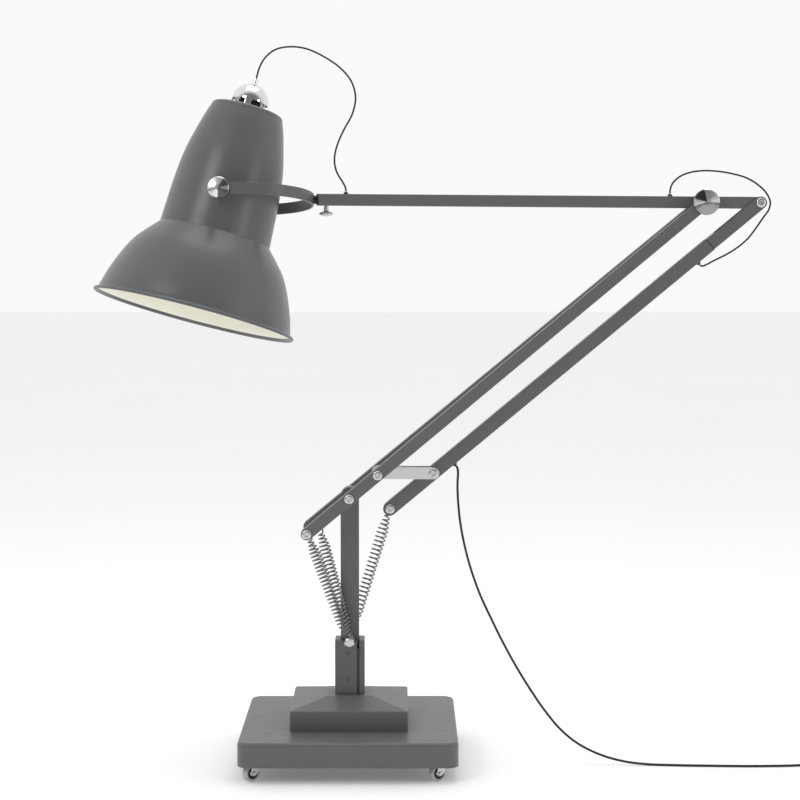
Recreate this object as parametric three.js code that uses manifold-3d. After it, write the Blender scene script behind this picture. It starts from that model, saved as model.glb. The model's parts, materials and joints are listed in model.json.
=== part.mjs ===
// Floor-standing balanced-arm lamp: a castored square base, a column, a sprung parallelogram arm,
// an upper arm with a swivelling stirrup, and a large spun shade.
// Millimetres, +Z up. X runs along the arms, Y across them. Each mesh is one real piece.

import * as THREE from 'three';
import { mergeVertices } from 'three/addons/utils/BufferGeometryUtils.js';
import Module from 'manifold-3d';

const wasm = await Module();
wasm.setup();

// ---------------------------------------------------------------- driving dimensions

const GAP = 0.3; // between pieces that touch
const RUNNING = 0.4; // radial clearance of a pin in its hole

// base
const BASE_WIDTH = 450;
const BASE_BOTTOM = 33;
const BASE_TOP = 84;
const BASE_CORNER = 25;
const BASE_EDGE = 7;
const BASE_WALL = 5;
const PLINTH_WIDTH = 245;
const PLINTH_TOP = 127;
const PLINTH_CORNER = 6;
const PAD_WIDTH = 100;
const PAD_TOP = 143.5;
const BALLAST_THICKNESS = 18;

// castors
const CASTOR_INSET = 35;
const CASTOR_STEM_RADIUS = 6;
const CASTOR_STEM_LENGTH = 11; // held in the ballast
const CASTOR_TRAIL = 10;
const CASTOR_TURNS = [220, 214, 146, 28]; // degrees, one for each corner
const WHEEL_RADIUS = 18;
const WHEEL_WIDTH = 16;
const WHEEL_AXLE_RADIUS = 2.5;
const CASTOR_PLATE = 2.5;

// column and its socket
const SOCKET_WIDTH = 62;
const SOCKET_DEPTH = 50;
const SOCKET_TOP = 258;
const SOCKET_FLOOR = 6;
const SOCKET_PLATE_THICKNESS = 6;
const SOCKET_PLATE_RIGHT = 15;
const SOCKET_SCREWS = [177, 231]; // heights
const COLUMN_WIDTH = 38.6;
const COLUMN_DEPTH = 30;
const COLUMN_WALL = 3;
const PIVOT_HEIGHT = 562;
const ANCHOR_HEIGHT = 259;

// lower arm: two square tubes that close in on the elbow
const ARM_ANGLE = 39.74; // degrees above the floor
const ARM_LENGTH = 963.6; // main pivot to elbow
const ARM_TAIL = 115; // main pivot to the low end
const ARM_HEIGHT = 25;
const ARM_THICKNESS = 24;
const ARM_WALL = 2;
const ARM_HALF_SPREAD = 63; // middle of a tube at the low end
const INNER_SPRING_PEG = [-88, -5]; // along and across the arm, from the main pivot

// parallelogram
const LINK_FROM_PIVOT = 77;
const LINK_LENGTH = 117;
const LINK_WIDTH = 25;
const LINK_THICKNESS = 4;
const SECOND_BAR_TAIL = 119;
const SECOND_BAR_HEIGHT = 28.5;
const SECOND_BAR_THICKNESS = 28;
const BAR_FORK_LENGTH = 134;
const BAR_FORK_PLATE = 4;
const BAR_FORK_ROOT = 22;
const BAR_FORK_HEIGHT = 26;
const MAINS_EXIT = 46; // along the second bar from the link
const LOOP_EXIT = 178; // along the second bar from its top pivot

// upper arm
const UPPER_ARM_SLOPE = -0.4; // degrees, falling towards the tail
const UPPER_ARM_REACH = 806; // elbow to the free end
const UPPER_ARM_HEIGHT = 24.5;
const UPPER_ARM_THICKNESS = 24;
const HEAD_CORD_ENTRY = 748; // from the elbow
const LOOP_ENTRY = 71; // from the elbow

// stirrup
const STIRRUP_HALF_WIDTH = 138; // inside
const STIRRUP_BAND = 4;
const STIRRUP_HEIGHT = 24;
const STIRRUP_BACK = 815; // outside of the band's back, from the elbow
const STIRRUP_ROLL = -8; // degrees
const SHADE_PIVOT_REACH = 1002; // from the elbow
const SHADE_TILT = 14; // degrees

// shade, heights above the plane of its rim
const SHADE_RIM_RADIUS = 214;
const SHADE_PIVOT_HEIGHT = 250;
const SHADE_TOP = 445;
const SHADE_WALL = 2.5;
const SHADE_TOP_HOLE = 24;
const SHADE_SIDES = 28;
const COLLAR_RADIUS = 22;
const COLLAR_HEIGHT = 26;
const DOME_RADIUS = 39;
const DOME_HEIGHT = 55;
const DOME_WINDOW_WIDTH = 45;
const DOME_WINDOW_HEIGHT = 14;
const NIPPLE_RADIUS = 5;
const NIPPLE_HEIGHT = 13;
const BULB_RADIUS = 34;

// screws, knobs and cords
const PIN_RADIUS = 5;
const MAIN_PIN_RADIUS = 6;
const ELBOW_PIN_RADIUS = 8;
const HEAD_RADIUS = 10.2;
const HEAD_THICKNESS = 3.5;
const ELBOW_KNOB_RADIUS = 27;
const SHADE_KNOB_RADIUS = 22;
const GROMMET_RADIUS = 5.5;
const GROMMET_HEIGHT = 5;
const LOOP_CORD_RADIUS = 1.9;
const MAINS_CORD_RADIUS = 2.5;
const COIL_CENTRE = [1005, -107.5];
const COIL_OUTER = 35;
const COIL_INNER = 20;
const COIL_HEIGHT = 15;
const COIL_TIE = 1.2;

// springs
const SPRING_WIRE = 1.3;
const SPRING_RADIUS = 10;
const SPRING_EYE_ROOM = 2.6; // between a pin and the eye round it
const SPRING_FROM_TUBE = 5; // from the near tube's inner face to the near spring's middle
const SPRING_SIDES = 3;
const SPRING_STEPS_PER_TURN = 5;

// ---------------------------------------------------------------- pivots

const degrees = THREE.MathUtils.degToRad;

function along(point, angle, distance, across = 0) {
  const c = Math.cos(degrees(angle));
  const s = Math.sin(degrees(angle));
  return { x: point.x + distance * c - across * s, z: point.z + distance * s + across * c };
}

const MAIN_PIVOT = { x: 0, z: PIVOT_HEIGHT };
const ANCHOR = { x: 0, z: ANCHOR_HEIGHT };
const ELBOW = along(MAIN_PIVOT, ARM_ANGLE, ARM_LENGTH);
const LINK_PIVOT = along(MAIN_PIVOT, ARM_ANGLE, LINK_FROM_PIVOT);
const LINK_END = along(LINK_PIVOT, UPPER_ARM_SLOPE, LINK_LENGTH);
const TAIL_PIVOT = along(ELBOW, UPPER_ARM_SLOPE, LINK_LENGTH);
const BAR_LENGTH = ARM_LENGTH - LINK_FROM_PIVOT; // link to tail pivot, along the second bar

// half the distance between the lower arm's tubes shrinks evenly up to the elbow
const ELBOW_HALF_SPREAD = UPPER_ARM_THICKNESS / 2 + ARM_THICKNESS / 2 + 1.5;
const SPLAY = Math.atan((ARM_HALF_SPREAD - ELBOW_HALF_SPREAD) / (ARM_LENGTH + ARM_TAIL));
const halfSpread = (s) => ARM_HALF_SPREAD - (s + ARM_TAIL) * Math.tan(SPLAY);
const tubeInside = (s) => halfSpread(s) - ARM_THICKNESS / 2;
const tubeOutside = (s) => halfSpread(s) + ARM_THICKNESS / 2;

// ---------------------------------------------------------------- materials

function finish(color, roughness, metalness) {
  return new THREE.MeshStandardMaterial({ color, roughness, metalness });
}

const paint = finish(0x636667, 0.45, 0.1);
const iron = finish(0x3c3c3e, 0.8, 0.6);
const steel = finish(0xc9cac8, 0.3, 1);
const brushed = finish(0xb4b6b5, 0.4, 1);
const chrome = finish(0xe2e3e4, 0.08, 1);
const black = finish(0x141414, 0.6, 0);
const tyre = finish(0xb9b9b6, 0.7, 0);
const porcelain = finish(0xe8e6df, 0.4, 0);
const glass = finish(0xf6f3ea, 0.2, 0);

// ---------------------------------------------------------------- shape helpers

function signedVolume(geometry) {
  const place = geometry.attributes.position;
  const corner = [0, 1, 2].map(() => new THREE.Vector3());
  let sum = 0;
  for (let i = 0; i < geometry.index.count; i += 3) {
    corner.forEach((v, k) => v.fromBufferAttribute(place, geometry.index.getX(i + k)));
    sum += corner[0].dot(corner[1].cross(corner[2]));
  }
  return sum / 6;
}

// one shared vertex at each corner, no collapsed triangles, faces pointing out
function closed(geometry) {
  geometry.deleteAttribute('normal');
  geometry.deleteAttribute('uv');
  const merged = mergeVertices(geometry, 1e-3);
  const kept = [];
  for (let i = 0; i < merged.index.count; i += 3) {
    const [a, b, c] = [0, 1, 2].map((k) => merged.index.getX(i + k));
    if (a !== b && b !== c && c !== a) kept.push(a, b, c);
  }
  merged.setIndex(kept);
  if (signedVolume(merged) < 0) merged.setIndex(kept.reverse());
  return merged;
}

function solid(geometry) {
  const shape = closed(geometry);
  return new wasm.Manifold(new wasm.Mesh({
    numProp: 3,
    vertProperties: new Float32Array(shape.attributes.position.array),
    triVerts: new Uint32Array(shape.index.array),
  }));
}

function surface(manifold) {
  const mesh = manifold.getMesh();
  const geometry = new THREE.BufferGeometry();
  geometry.setAttribute('position', new THREE.BufferAttribute(mesh.vertProperties, 3));
  geometry.setIndex(new THREE.BufferAttribute(mesh.triVerts, 1));
  return geometry;
}

const join = (...geometries) => surface(geometries.map(solid).reduce((a, b) => a.add(b)));

const cut = (geometry, ...tools) => surface(tools.reduce((a, b) => a.subtract(solid(b)), solid(geometry)));

const keep = (geometry, mask) => surface(solid(geometry).intersect(solid(mask)));

const moved = (geometry, x, y, z) => geometry.translate(x, y, z);

function block(x0, x1, y0, y1, z0, z1) {
  const geometry = new THREE.BoxGeometry(x1 - x0, y1 - y0, z1 - z0);
  return geometry.translate((x0 + x1) / 2, (y0 + y1) / 2, (z0 + z1) / 2);
}

// a rod along Y between two places
function rodY(radius, y0, y1, sides = 16) {
  return new THREE.CylinderGeometry(radius, radius, y1 - y0, sides).translate(0, (y0 + y1) / 2, 0);
}

function rodZ(radius, z0, z1, sides = 16) {
  return rodY(radius, z0, z1, sides).rotateX(Math.PI / 2);
}

// a turned piece: [radius, place along the axis] corners, closed on the axis or on itself
function turnedY(profile, sides = 16) {
  return new THREE.LatheGeometry(profile.map(([r, y]) => new THREE.Vector2(r, y)), sides);
}

const turnedZ = (profile, sides = 16) => turnedY(profile, sides).rotateX(Math.PI / 2);

function roundedRectangle(width, height, radius, segments = 4) {
  const shape = new THREE.Shape();
  const x = width / 2 - radius;
  const y = height / 2 - radius;
  const corners = [[x, y], [-x, y], [-x, -y], [x, -y]];
  const points = [];
  corners.forEach(([cx, cy], corner) => {
    for (let i = 0; i <= segments; i += 1) {
      const turn = (corner + i / segments) * Math.PI / 2;
      points.push(new THREE.Vector2(cx + radius * Math.cos(turn), cy + radius * Math.sin(turn)));
    }
  });
  return shape.setFromPoints(points);
}

// a bar's side view from x0 to x1, with a round end of radius `round` past an end that has one
function barOutline(x0, x1, height, roundStart, roundEnd, segments = 10) {
  const half = height / 2;
  const points = [];
  if (roundEnd) {
    for (let i = 0; i <= segments; i += 1) {
      const turn = (i / segments - 0.5) * Math.PI;
      points.push(new THREE.Vector2(x1 + half * Math.cos(turn), half * Math.sin(turn)));
    }
  } else {
    points.push(new THREE.Vector2(x1, -half), new THREE.Vector2(x1, half));
  }
  if (roundStart) {
    for (let i = 0; i <= segments; i += 1) {
      const turn = (i / segments + 0.5) * Math.PI;
      points.push(new THREE.Vector2(x0 + half * Math.cos(turn), half * Math.sin(turn)));
    }
  } else {
    points.push(new THREE.Vector2(x0, half), new THREE.Vector2(x0, -half));
  }
  return new THREE.Shape(points);
}

// an outline in X and Z, given a thickness across Y about its middle
function slab(shape, thickness, edge = 0) {
  const geometry = new THREE.ExtrudeGeometry(shape, {
    depth: thickness - 2 * edge,
    bevelEnabled: edge > 0,
    bevelThickness: edge,
    bevelSize: edge,
    bevelOffset: -edge,
    bevelSegments: 1,
  });
  return geometry.translate(0, 0, edge - thickness / 2).rotateX(Math.PI / 2);
}

// an outline in X and Y, raised from z0 to z1
function raised(shape, z0, z1, edge = 0, segments = 1) {
  const geometry = new THREE.ExtrudeGeometry(shape, {
    depth: z1 - z0 - 2 * edge,
    bevelEnabled: edge > 0,
    bevelThickness: edge,
    bevelSize: edge,
    bevelOffset: -edge,
    bevelSegments: segments,
  });
  return geometry.translate(0, 0, z0 + edge);
}

// a headed pin along Y: spans of [radius, y0, y1], with a hexagon socket in each head that has one
function pin(spans, sockets = []) {
  const profile = [[0, spans[0][1]]];
  spans.forEach(([radius, y0, y1]) => profile.push([radius, y0], [radius, y1]));
  profile.push([0, spans[spans.length - 1][2]]);
  const body = turnedY(profile);
  const recesses = sockets.map(([y, depth]) => rodY(4, y - depth, y + depth, 6));
  return recesses.length ? cut(body, ...recesses) : body;
}

// both heads outside two faces at +-face, and a shank between them
function crossPin(radius, face, sleeve = null) {
  const head = face + 2 * GAP;
  const end = head + HEAD_THICKNESS;
  const shank = sleeve
    ? [[radius, -head, -sleeve.to], [sleeve.radius, -sleeve.to, -sleeve.from],
      [radius, -sleeve.from, sleeve.from], [sleeve.radius, sleeve.from, sleeve.to],
      [radius, sleeve.to, head]]
    : [[radius, -head, head]];
  return pin([[HEAD_RADIUS, -end, -head], ...shank, [HEAD_RADIUS, head, end]], [[-end, 2], [end, 2]]);
}

// ---------------------------------------------------------------- assembly helpers

const lamp = new THREE.Group();
const hardware = new THREE.Group();
const cordage = new THREE.Group();
lamp.add(hardware, cordage);

function piece(name, geometry, material, parent = hardware, position = [0, 0, 0]) {
  const mesh = new THREE.Mesh(closed(geometry), material);
  mesh.name = name;
  mesh.position.set(...position);
  parent.add(mesh);
  return mesh;
}

// a group at a pivot, turned so that its X runs along a bar at this angle above the floor
function barGroup(pivot, angle) {
  const group = new THREE.Group();
  group.position.set(pivot.x, 0, pivot.z);
  group.rotation.y = -degrees(angle);
  hardware.add(group);
  return group;
}

// ---------------------------------------------------------------- base

function baseCover() {
  const outside = raised(roundedRectangle(BASE_WIDTH, BASE_WIDTH, BASE_CORNER, 6), BASE_BOTTOM, BASE_TOP,
    BASE_EDGE, 3);
  const inner = BASE_WIDTH - 2 * BASE_WALL;
  const inside = raised(roundedRectangle(inner, inner, BASE_CORNER - BASE_WALL, 6), BASE_BOTTOM - 1,
    BASE_TOP - BASE_WALL);
  return cut(outside, inside);
}

function basePlinth() {
  const bottom = BASE_TOP + GAP;
  const tier = raised(roundedRectangle(PLINTH_WIDTH, PLINTH_WIDTH, PLINTH_CORNER), bottom, PLINTH_TOP);
  const slope = new THREE.CylinderGeometry(PAD_WIDTH / Math.SQRT2, (PLINTH_WIDTH - 6) / Math.SQRT2,
    PAD_TOP - PLINTH_TOP + 1, 4);
  slope.rotateY(Math.PI / 4).rotateX(Math.PI / 2).translate(0, 0, (PAD_TOP + PLINTH_TOP - 1) / 2);
  const half = PLINTH_WIDTH / 2 - BASE_WALL;
  return cut(join(tier, slope), block(-half, half, -half, half, bottom - 1, PLINTH_TOP - BASE_WALL));
}

const CASTOR_PLACE = BASE_WIDTH / 2 - CASTOR_INSET;
const BALLAST_TOP = BASE_TOP - BASE_WALL - GAP;
const BALLAST_BOTTOM = BALLAST_TOP - BALLAST_THICKNESS;

function cornerPlaces() {
  return [[-1, -1], [1, -1], [1, 1], [-1, 1]].map(([x, y]) => [x * CASTOR_PLACE, y * CASTOR_PLACE]);
}

function ballast() {
  const width = BASE_WIDTH - 2 * BASE_WALL - 2 * GAP;
  const outline = roundedRectangle(width, width, BASE_CORNER - BASE_WALL, 4);
  const plate = raised(outline, BALLAST_BOTTOM, BALLAST_TOP);
  const socketTop = BALLAST_BOTTOM + CASTOR_STEM_LENGTH + GAP;
  const sockets = cornerPlaces().map(([x, y]) => moved(
    rodZ(CASTOR_STEM_RADIUS + RUNNING, BALLAST_BOTTOM - 1, socketTop), x, y, 0));
  return cut(plate, ...sockets);
}

piece('base_cover', baseCover(), paint);
piece('base_plinth', basePlinth(), paint);
piece('ballast', ballast(), iron);

// ---------------------------------------------------------------- castors

function castorFork() {
  const crownBottom = 2 * WHEEL_RADIUS + 2;
  const crownTop = crownBottom + 4;
  const inside = WHEEL_WIDTH / 2 + 1;
  const outline = new THREE.Shape([
    new THREE.Vector2(-9, crownTop - 1),
    new THREE.Vector2(-9, crownBottom - 2),
    new THREE.Vector2(CASTOR_TRAIL - 6, WHEEL_RADIUS - 3),
    new THREE.Vector2(CASTOR_TRAIL, WHEEL_RADIUS - 6),
    new THREE.Vector2(CASTOR_TRAIL + 6, WHEEL_RADIUS - 3),
    new THREE.Vector2(CASTOR_TRAIL + 6, WHEEL_RADIUS + 5),
    new THREE.Vector2(13, crownBottom - 2),
    new THREE.Vector2(13, crownTop - 1),
  ]);
  const cheek = inside + CASTOR_PLATE / 2;
  return join(
    rodZ(15, crownBottom, crownTop, 20),
    rodZ(CASTOR_STEM_RADIUS, crownTop - 1, BALLAST_BOTTOM + CASTOR_STEM_LENGTH, 20),
    moved(slab(outline, CASTOR_PLATE), 0, -cheek, 0),
    moved(slab(outline, CASTOR_PLATE), 0, cheek, 0),
    moved(rodY(WHEEL_AXLE_RADIUS, -cheek, cheek, 16), CASTOR_TRAIL, 0, WHEEL_RADIUS),
  );
}

function castorWheel() {
  const half = WHEEL_WIDTH / 2;
  const bore = WHEEL_AXLE_RADIUS + RUNNING;
  const r = WHEEL_RADIUS;
  return turnedY([
    [bore, -half], [r - 3.5, -half], [r, 3.5 - half], [r, half - 3.5], [r - 3.5, half], [bore, half],
    [bore, -half],
  ], 20);
}

cornerPlaces().forEach(([x, y], corner) => {
  const swivel = new THREE.Group();
  swivel.position.set(x, y, 0);
  swivel.rotation.z = degrees(CASTOR_TURNS[corner]);
  hardware.add(swivel);
  piece(`castor_fork_${corner + 1}`, castorFork(), steel, swivel);
  piece(`castor_wheel_${corner + 1}`, castorWheel(), tyre, swivel, [CASTOR_TRAIL, 0, WHEEL_RADIUS]);
});

// ---------------------------------------------------------------- column

const SOCKET_BOTTOM = PAD_TOP + GAP;
const SOCKET_FRONT = -SOCKET_DEPTH / 2;
const COLUMN_BOTTOM = SOCKET_BOTTOM + SOCKET_FLOOR + GAP;
const PLATE_FRONT = SOCKET_FRONT - GAP - SOCKET_PLATE_THICKNESS;

function columnSocket() {
  const half = SOCKET_WIDTH / 2;
  const body = raised(roundedRectangle(SOCKET_WIDTH, SOCKET_DEPTH, 4), SOCKET_BOTTOM, SOCKET_TOP);
  const wayX = COLUMN_WIDTH / 2 + GAP;
  const wayY = COLUMN_DEPTH / 2 + GAP;
  return cut(
    body,
    block(-wayX, wayX, -wayY, wayY, SOCKET_BOTTOM + SOCKET_FLOOR, SOCKET_TOP + 1),
    moved(rodY(MAIN_PIN_RADIUS + RUNNING, -half, half), ANCHOR.x, 0, ANCHOR.z),
    ...SOCKET_SCREWS.map((z) => moved(rodY(3.4, SOCKET_FRONT - 1, -wayY + 1, 12), -4, 0, z)),
  );
}

function socketPlate() {
  const left = -SOCKET_WIDTH / 2;
  const plate = block(left, SOCKET_PLATE_RIGHT, PLATE_FRONT, SOCKET_FRONT - GAP, SOCKET_BOTTOM, SOCKET_TOP);
  return cut(
    plate,
    moved(rodY(13, PLATE_FRONT - 1, SOCKET_FRONT), ANCHOR.x, 0, ANCHOR.z),
    ...SOCKET_SCREWS.flatMap((z) => [
      moved(rodY(5.6, PLATE_FRONT - 1, PLATE_FRONT + 4, 16), -4, 0, z),
      moved(rodY(3.4, PLATE_FRONT - 1, SOCKET_FRONT, 12), -4, 0, z),
    ]),
  );
}

function socketScrew() {
  const seat = PLATE_FRONT + 4 - GAP;
  return pin([[5.2, seat - 3, seat], [3, seat, -COLUMN_DEPTH / 2 - 2 * GAP]], [[seat - 3, 1.5]]);
}

function column() {
  const half = COLUMN_WIDTH / 2;
  const rise = PIVOT_HEIGHT - COLUMN_BOTTOM;
  const outline = barOutline(-rise, 0, COLUMN_WIDTH, false, true, 16);
  const bar = slab(outline, COLUMN_DEPTH, 1.5).rotateY(-Math.PI / 2).translate(0, 0, PIVOT_HEIGHT);
  const inX = half - COLUMN_WALL;
  const inY = COLUMN_DEPTH / 2 - COLUMN_WALL;
  return cut(
    bar,
    block(-inX, inX, -inY, inY, COLUMN_BOTTOM - 1, PIVOT_HEIGHT - 20),
    moved(rodY(MAIN_PIN_RADIUS + RUNNING, -half, half), MAIN_PIVOT.x, 0, MAIN_PIVOT.z),
    moved(rodY(MAIN_PIN_RADIUS + RUNNING, -half, half), ANCHOR.x, 0, ANCHOR.z),
  );
}

// the anchor pin carries two spring ends in front of the column and one behind it
const ANCHOR_FRONT = -66;
const ANCHOR_BACK = 44;

function anchorPin() {
  return pin([
    [8, ANCHOR_FRONT - 4, ANCHOR_FRONT - 3], [HEAD_RADIUS + 0.3, ANCHOR_FRONT - 2, ANCHOR_FRONT + 1],
    [MAIN_PIN_RADIUS, ANCHOR_FRONT + 1, ANCHOR_BACK], [9, ANCHOR_BACK, ANCHOR_BACK + 3],
  ]);
}

piece('column_socket', columnSocket(), paint);
piece('socket_plate', socketPlate(), paint);
SOCKET_SCREWS.forEach((z, i) => piece(`socket_screw_${i + 1}`, socketScrew(), steel, hardware, [-4, 0, z]));
piece('column', column(), paint);
piece('anchor_pin', anchorPin(), steel, hardware, [ANCHOR.x, 0, ANCHOR.z]);
piece('main_pivot_bolt', crossPin(MAIN_PIN_RADIUS, tubeOutside(0), {
  radius: 11, from: COLUMN_DEPTH / 2 + GAP, to: tubeInside(11) - 2 * GAP,
}), steel, hardware, [MAIN_PIVOT.x, 0, MAIN_PIVOT.z]);

// ---------------------------------------------------------------- lower arm

const mainArm = barGroup(MAIN_PIVOT, ARM_ANGLE);

// side is -1 for the near tube, +1 for the far one
function armTube(side) {
  const tube = slab(barOutline(-ARM_TAIL, ARM_LENGTH, ARM_HEIGHT, true, true), ARM_THICKNESS, 1.5);
  const hollow = block(25 - ARM_TAIL, ARM_LENGTH - 25, ARM_WALL - ARM_THICKNESS / 2,
    ARM_THICKNESS / 2 - ARM_WALL, ARM_WALL - ARM_HEIGHT / 2, ARM_HEIGHT / 2 - ARM_WALL);
  const vent = moved(rodY(3, -ARM_THICKNESS, 0, 8), ARM_LENGTH / 2, 0, 0);
  if (side < 0) vent.translate(0, ARM_THICKNESS, 0);
  const shape = cut(tube, hollow, vent);
  shape.rotateZ(-side * SPLAY).translate(0, side * halfSpread(0), 0);
  const reach = side * 2 * ARM_HALF_SPREAD;
  const hole = (s, radius) => moved(rodY(radius + RUNNING, Math.min(0, reach), Math.max(0, reach)), s, 0, 0);
  return cut(shape, hole(-ARM_TAIL, PIN_RADIUS), hole(0, MAIN_PIN_RADIUS), hole(LINK_FROM_PIVOT, PIN_RADIUS),
    hole(ARM_LENGTH, ELBOW_PIN_RADIUS));
}

piece('arm_tube_near', armTube(-1), paint, mainArm);
piece('arm_tube_far', armTube(1), paint, mainArm);
piece('low_end_pin', crossPin(PIN_RADIUS, tubeOutside(-ARM_TAIL)), steel, mainArm, [-ARM_TAIL, 0, 0]);
const pegFace = -tubeInside(INNER_SPRING_PEG[0]) + 2 * GAP;
piece('inner_spring_peg', pin([[4, pegFace, -26], [6.5, -26, -23.5]]), steel, mainArm,
  [INNER_SPRING_PEG[0], 0, INNER_SPRING_PEG[1]]);

const LINK_INSIDE = SECOND_BAR_THICKNESS / 2 + 2 * GAP;
const LINK_OUTSIDE = LINK_INSIDE + LINK_THICKNESS;
piece('link_pin', crossPin(PIN_RADIUS, tubeOutside(LINK_FROM_PIVOT), {
  radius: 9, from: LINK_OUTSIDE + GAP, to: tubeInside(LINK_FROM_PIVOT + 9) - 2 * GAP,
}), steel, mainArm, [LINK_FROM_PIVOT, 0, 0]);

// elbow bolt: a cone head behind, and a stub in front for the knob
const ELBOW_FACE = tubeOutside(ARM_LENGTH - ELBOW_KNOB_RADIUS) + GAP;
piece('elbow_bolt', pin([
  [ELBOW_PIN_RADIUS, -ELBOW_FACE - 10, ELBOW_FACE], [20, ELBOW_FACE, ELBOW_FACE + 5],
  [9, ELBOW_FACE + 9, ELBOW_FACE + 9.5],
]), steel, mainArm, [ARM_LENGTH, 0, 0]);

// a round knob on the near side of a face at y, with a bore for its stub
function knob(radius, face, bore, depth) {
  return turnedY([
    [bore, face], [radius - 2, face], [radius, face - 2], [radius, face - 6], [radius - 1.5, face - 7.5],
    [radius * 0.35, face - 12.5], [0, face - 12.8], [0, face - depth], [bore, face - depth], [bore, face],
  ], 22);
}

piece('elbow_knob', knob(ELBOW_KNOB_RADIUS, -ELBOW_FACE, ELBOW_PIN_RADIUS + RUNNING, 11), steel, mainArm,
  [ARM_LENGTH, 0, 0]);

// ---------------------------------------------------------------- link and second bar

const link = barGroup(LINK_PIVOT, UPPER_ARM_SLOPE);

function linkPlate(side) {
  const middle = side * (LINK_INSIDE + LINK_THICKNESS / 2);
  const strip = slab(barOutline(0, LINK_LENGTH, LINK_WIDTH, true, true), LINK_THICKNESS, 0.6);
  const plate = moved(strip, 0, middle, 0);
  const holes = [0, LINK_LENGTH].map((x) => moved(rodY(PIN_RADIUS + RUNNING, -30, 30), x, 0, 0));
  return cut(plate, ...holes);
}

piece('link_plate_near', linkPlate(-1), brushed, link);
piece('link_plate_far', linkPlate(1), brushed, link);
piece('link_end_pin', crossPin(PIN_RADIUS, LINK_OUTSIDE), steel, link, [LINK_LENGTH, 0, 0]);

const secondBarGroup = barGroup(LINK_END, ARM_ANGLE);
const BAR_TOP = BAR_LENGTH - BAR_FORK_LENGTH - GAP;

function secondBar() {
  const outline = barOutline(-SECOND_BAR_TAIL, BAR_TOP, SECOND_BAR_HEIGHT, true, false);
  const tube = slab(outline, SECOND_BAR_THICKNESS, 1.5);
  const inY = SECOND_BAR_THICKNESS / 2 - ARM_WALL;
  const inZ = SECOND_BAR_HEIGHT / 2 - ARM_WALL;
  return cut(
    tube,
    block(25 - SECOND_BAR_TAIL, BAR_TOP + 1, -inY, inY, -inZ, inZ),
    moved(rodY(PIN_RADIUS + RUNNING, -20, 20), -SECOND_BAR_TAIL, 0, 0),
    moved(rodY(PIN_RADIUS + RUNNING, -20, 20), 0, 0, 0),
    moved(rodZ(MAINS_CORD_RADIUS, -20, 0, 10), MAINS_EXIT, 0, 0),
    moved(rodZ(LOOP_CORD_RADIUS, -20, 0, 10), BAR_LENGTH - LOOP_EXIT, 0, 0),
  );
}

// a flanged rubber bush standing on a face, with the cord's way through it
function grommet(face, direction, bore) {
  const at = (h) => face + direction * h;
  return turnedZ([
    [bore, at(GAP)], [GROMMET_RADIUS, at(GAP)], [GROMMET_RADIUS, at(1.8)],
    [GROMMET_RADIUS - 2, at(GROMMET_HEIGHT)],
    [bore, at(GROMMET_HEIGHT)], [bore, at(GAP)],
  ], 12);
}

const BAR_UNDERSIDE = -SECOND_BAR_HEIGHT / 2;
const BAR_PIN_SEAT = -SECOND_BAR_THICKNESS / 2 - 2 * GAP;
const SPRING_SEAT_BACK = 22; // where the rear spring hangs on the second bar's pin
piece('second_bar', secondBar(), paint, secondBarGroup);
piece('second_bar_pin', pin([
  [HEAD_RADIUS, BAR_PIN_SEAT - HEAD_THICKNESS, BAR_PIN_SEAT],
  [PIN_RADIUS, BAR_PIN_SEAT, SPRING_SEAT_BACK + 4],
  [8, SPRING_SEAT_BACK + 4, SPRING_SEAT_BACK + 7],
], [[BAR_PIN_SEAT - HEAD_THICKNESS, 2]]), steel, secondBarGroup, [-SECOND_BAR_TAIL, 0, 0]);
piece('mains_grommet', grommet(BAR_UNDERSIDE, -1, MAINS_CORD_RADIUS), black, secondBarGroup,
  [MAINS_EXIT, 0, 0]);
piece('loop_grommet_low', grommet(BAR_UNDERSIDE, -1, LOOP_CORD_RADIUS), black, secondBarGroup,
  [BAR_LENGTH - LOOP_EXIT, 0, 0]);

// the second bar's top end: two plates astride the upper arm's tail, on a root that closes the tube
const barForkGroup = barGroup(TAIL_PIVOT, ARM_ANGLE);
const FORK_INSIDE = UPPER_ARM_THICKNESS / 2 + 2 * GAP;
const FORK_OUTSIDE = FORK_INSIDE + BAR_FORK_PLATE;

function barFork() {
  const outline = barOutline(-BAR_FORK_LENGTH, 0, BAR_FORK_HEIGHT, false, true);
  const slot = block(BAR_FORK_ROOT - BAR_FORK_LENGTH, BAR_FORK_LENGTH, -FORK_INSIDE, FORK_INSIDE, -30, 30);
  return cut(slab(outline, 2 * FORK_OUTSIDE, 1), slot, rodY(PIN_RADIUS + RUNNING, -30, 30));
}

piece('bar_fork', barFork(), paint, barForkGroup);
piece('tail_pin', crossPin(PIN_RADIUS, FORK_OUTSIDE), steel, barForkGroup);

// ---------------------------------------------------------------- upper arm

const upperArm = barGroup(ELBOW, UPPER_ARM_SLOPE);
const UPPER_HALF = UPPER_ARM_HEIGHT / 2;
const THUMBSCREW_PLACE = 17 - UPPER_ARM_REACH;

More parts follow.
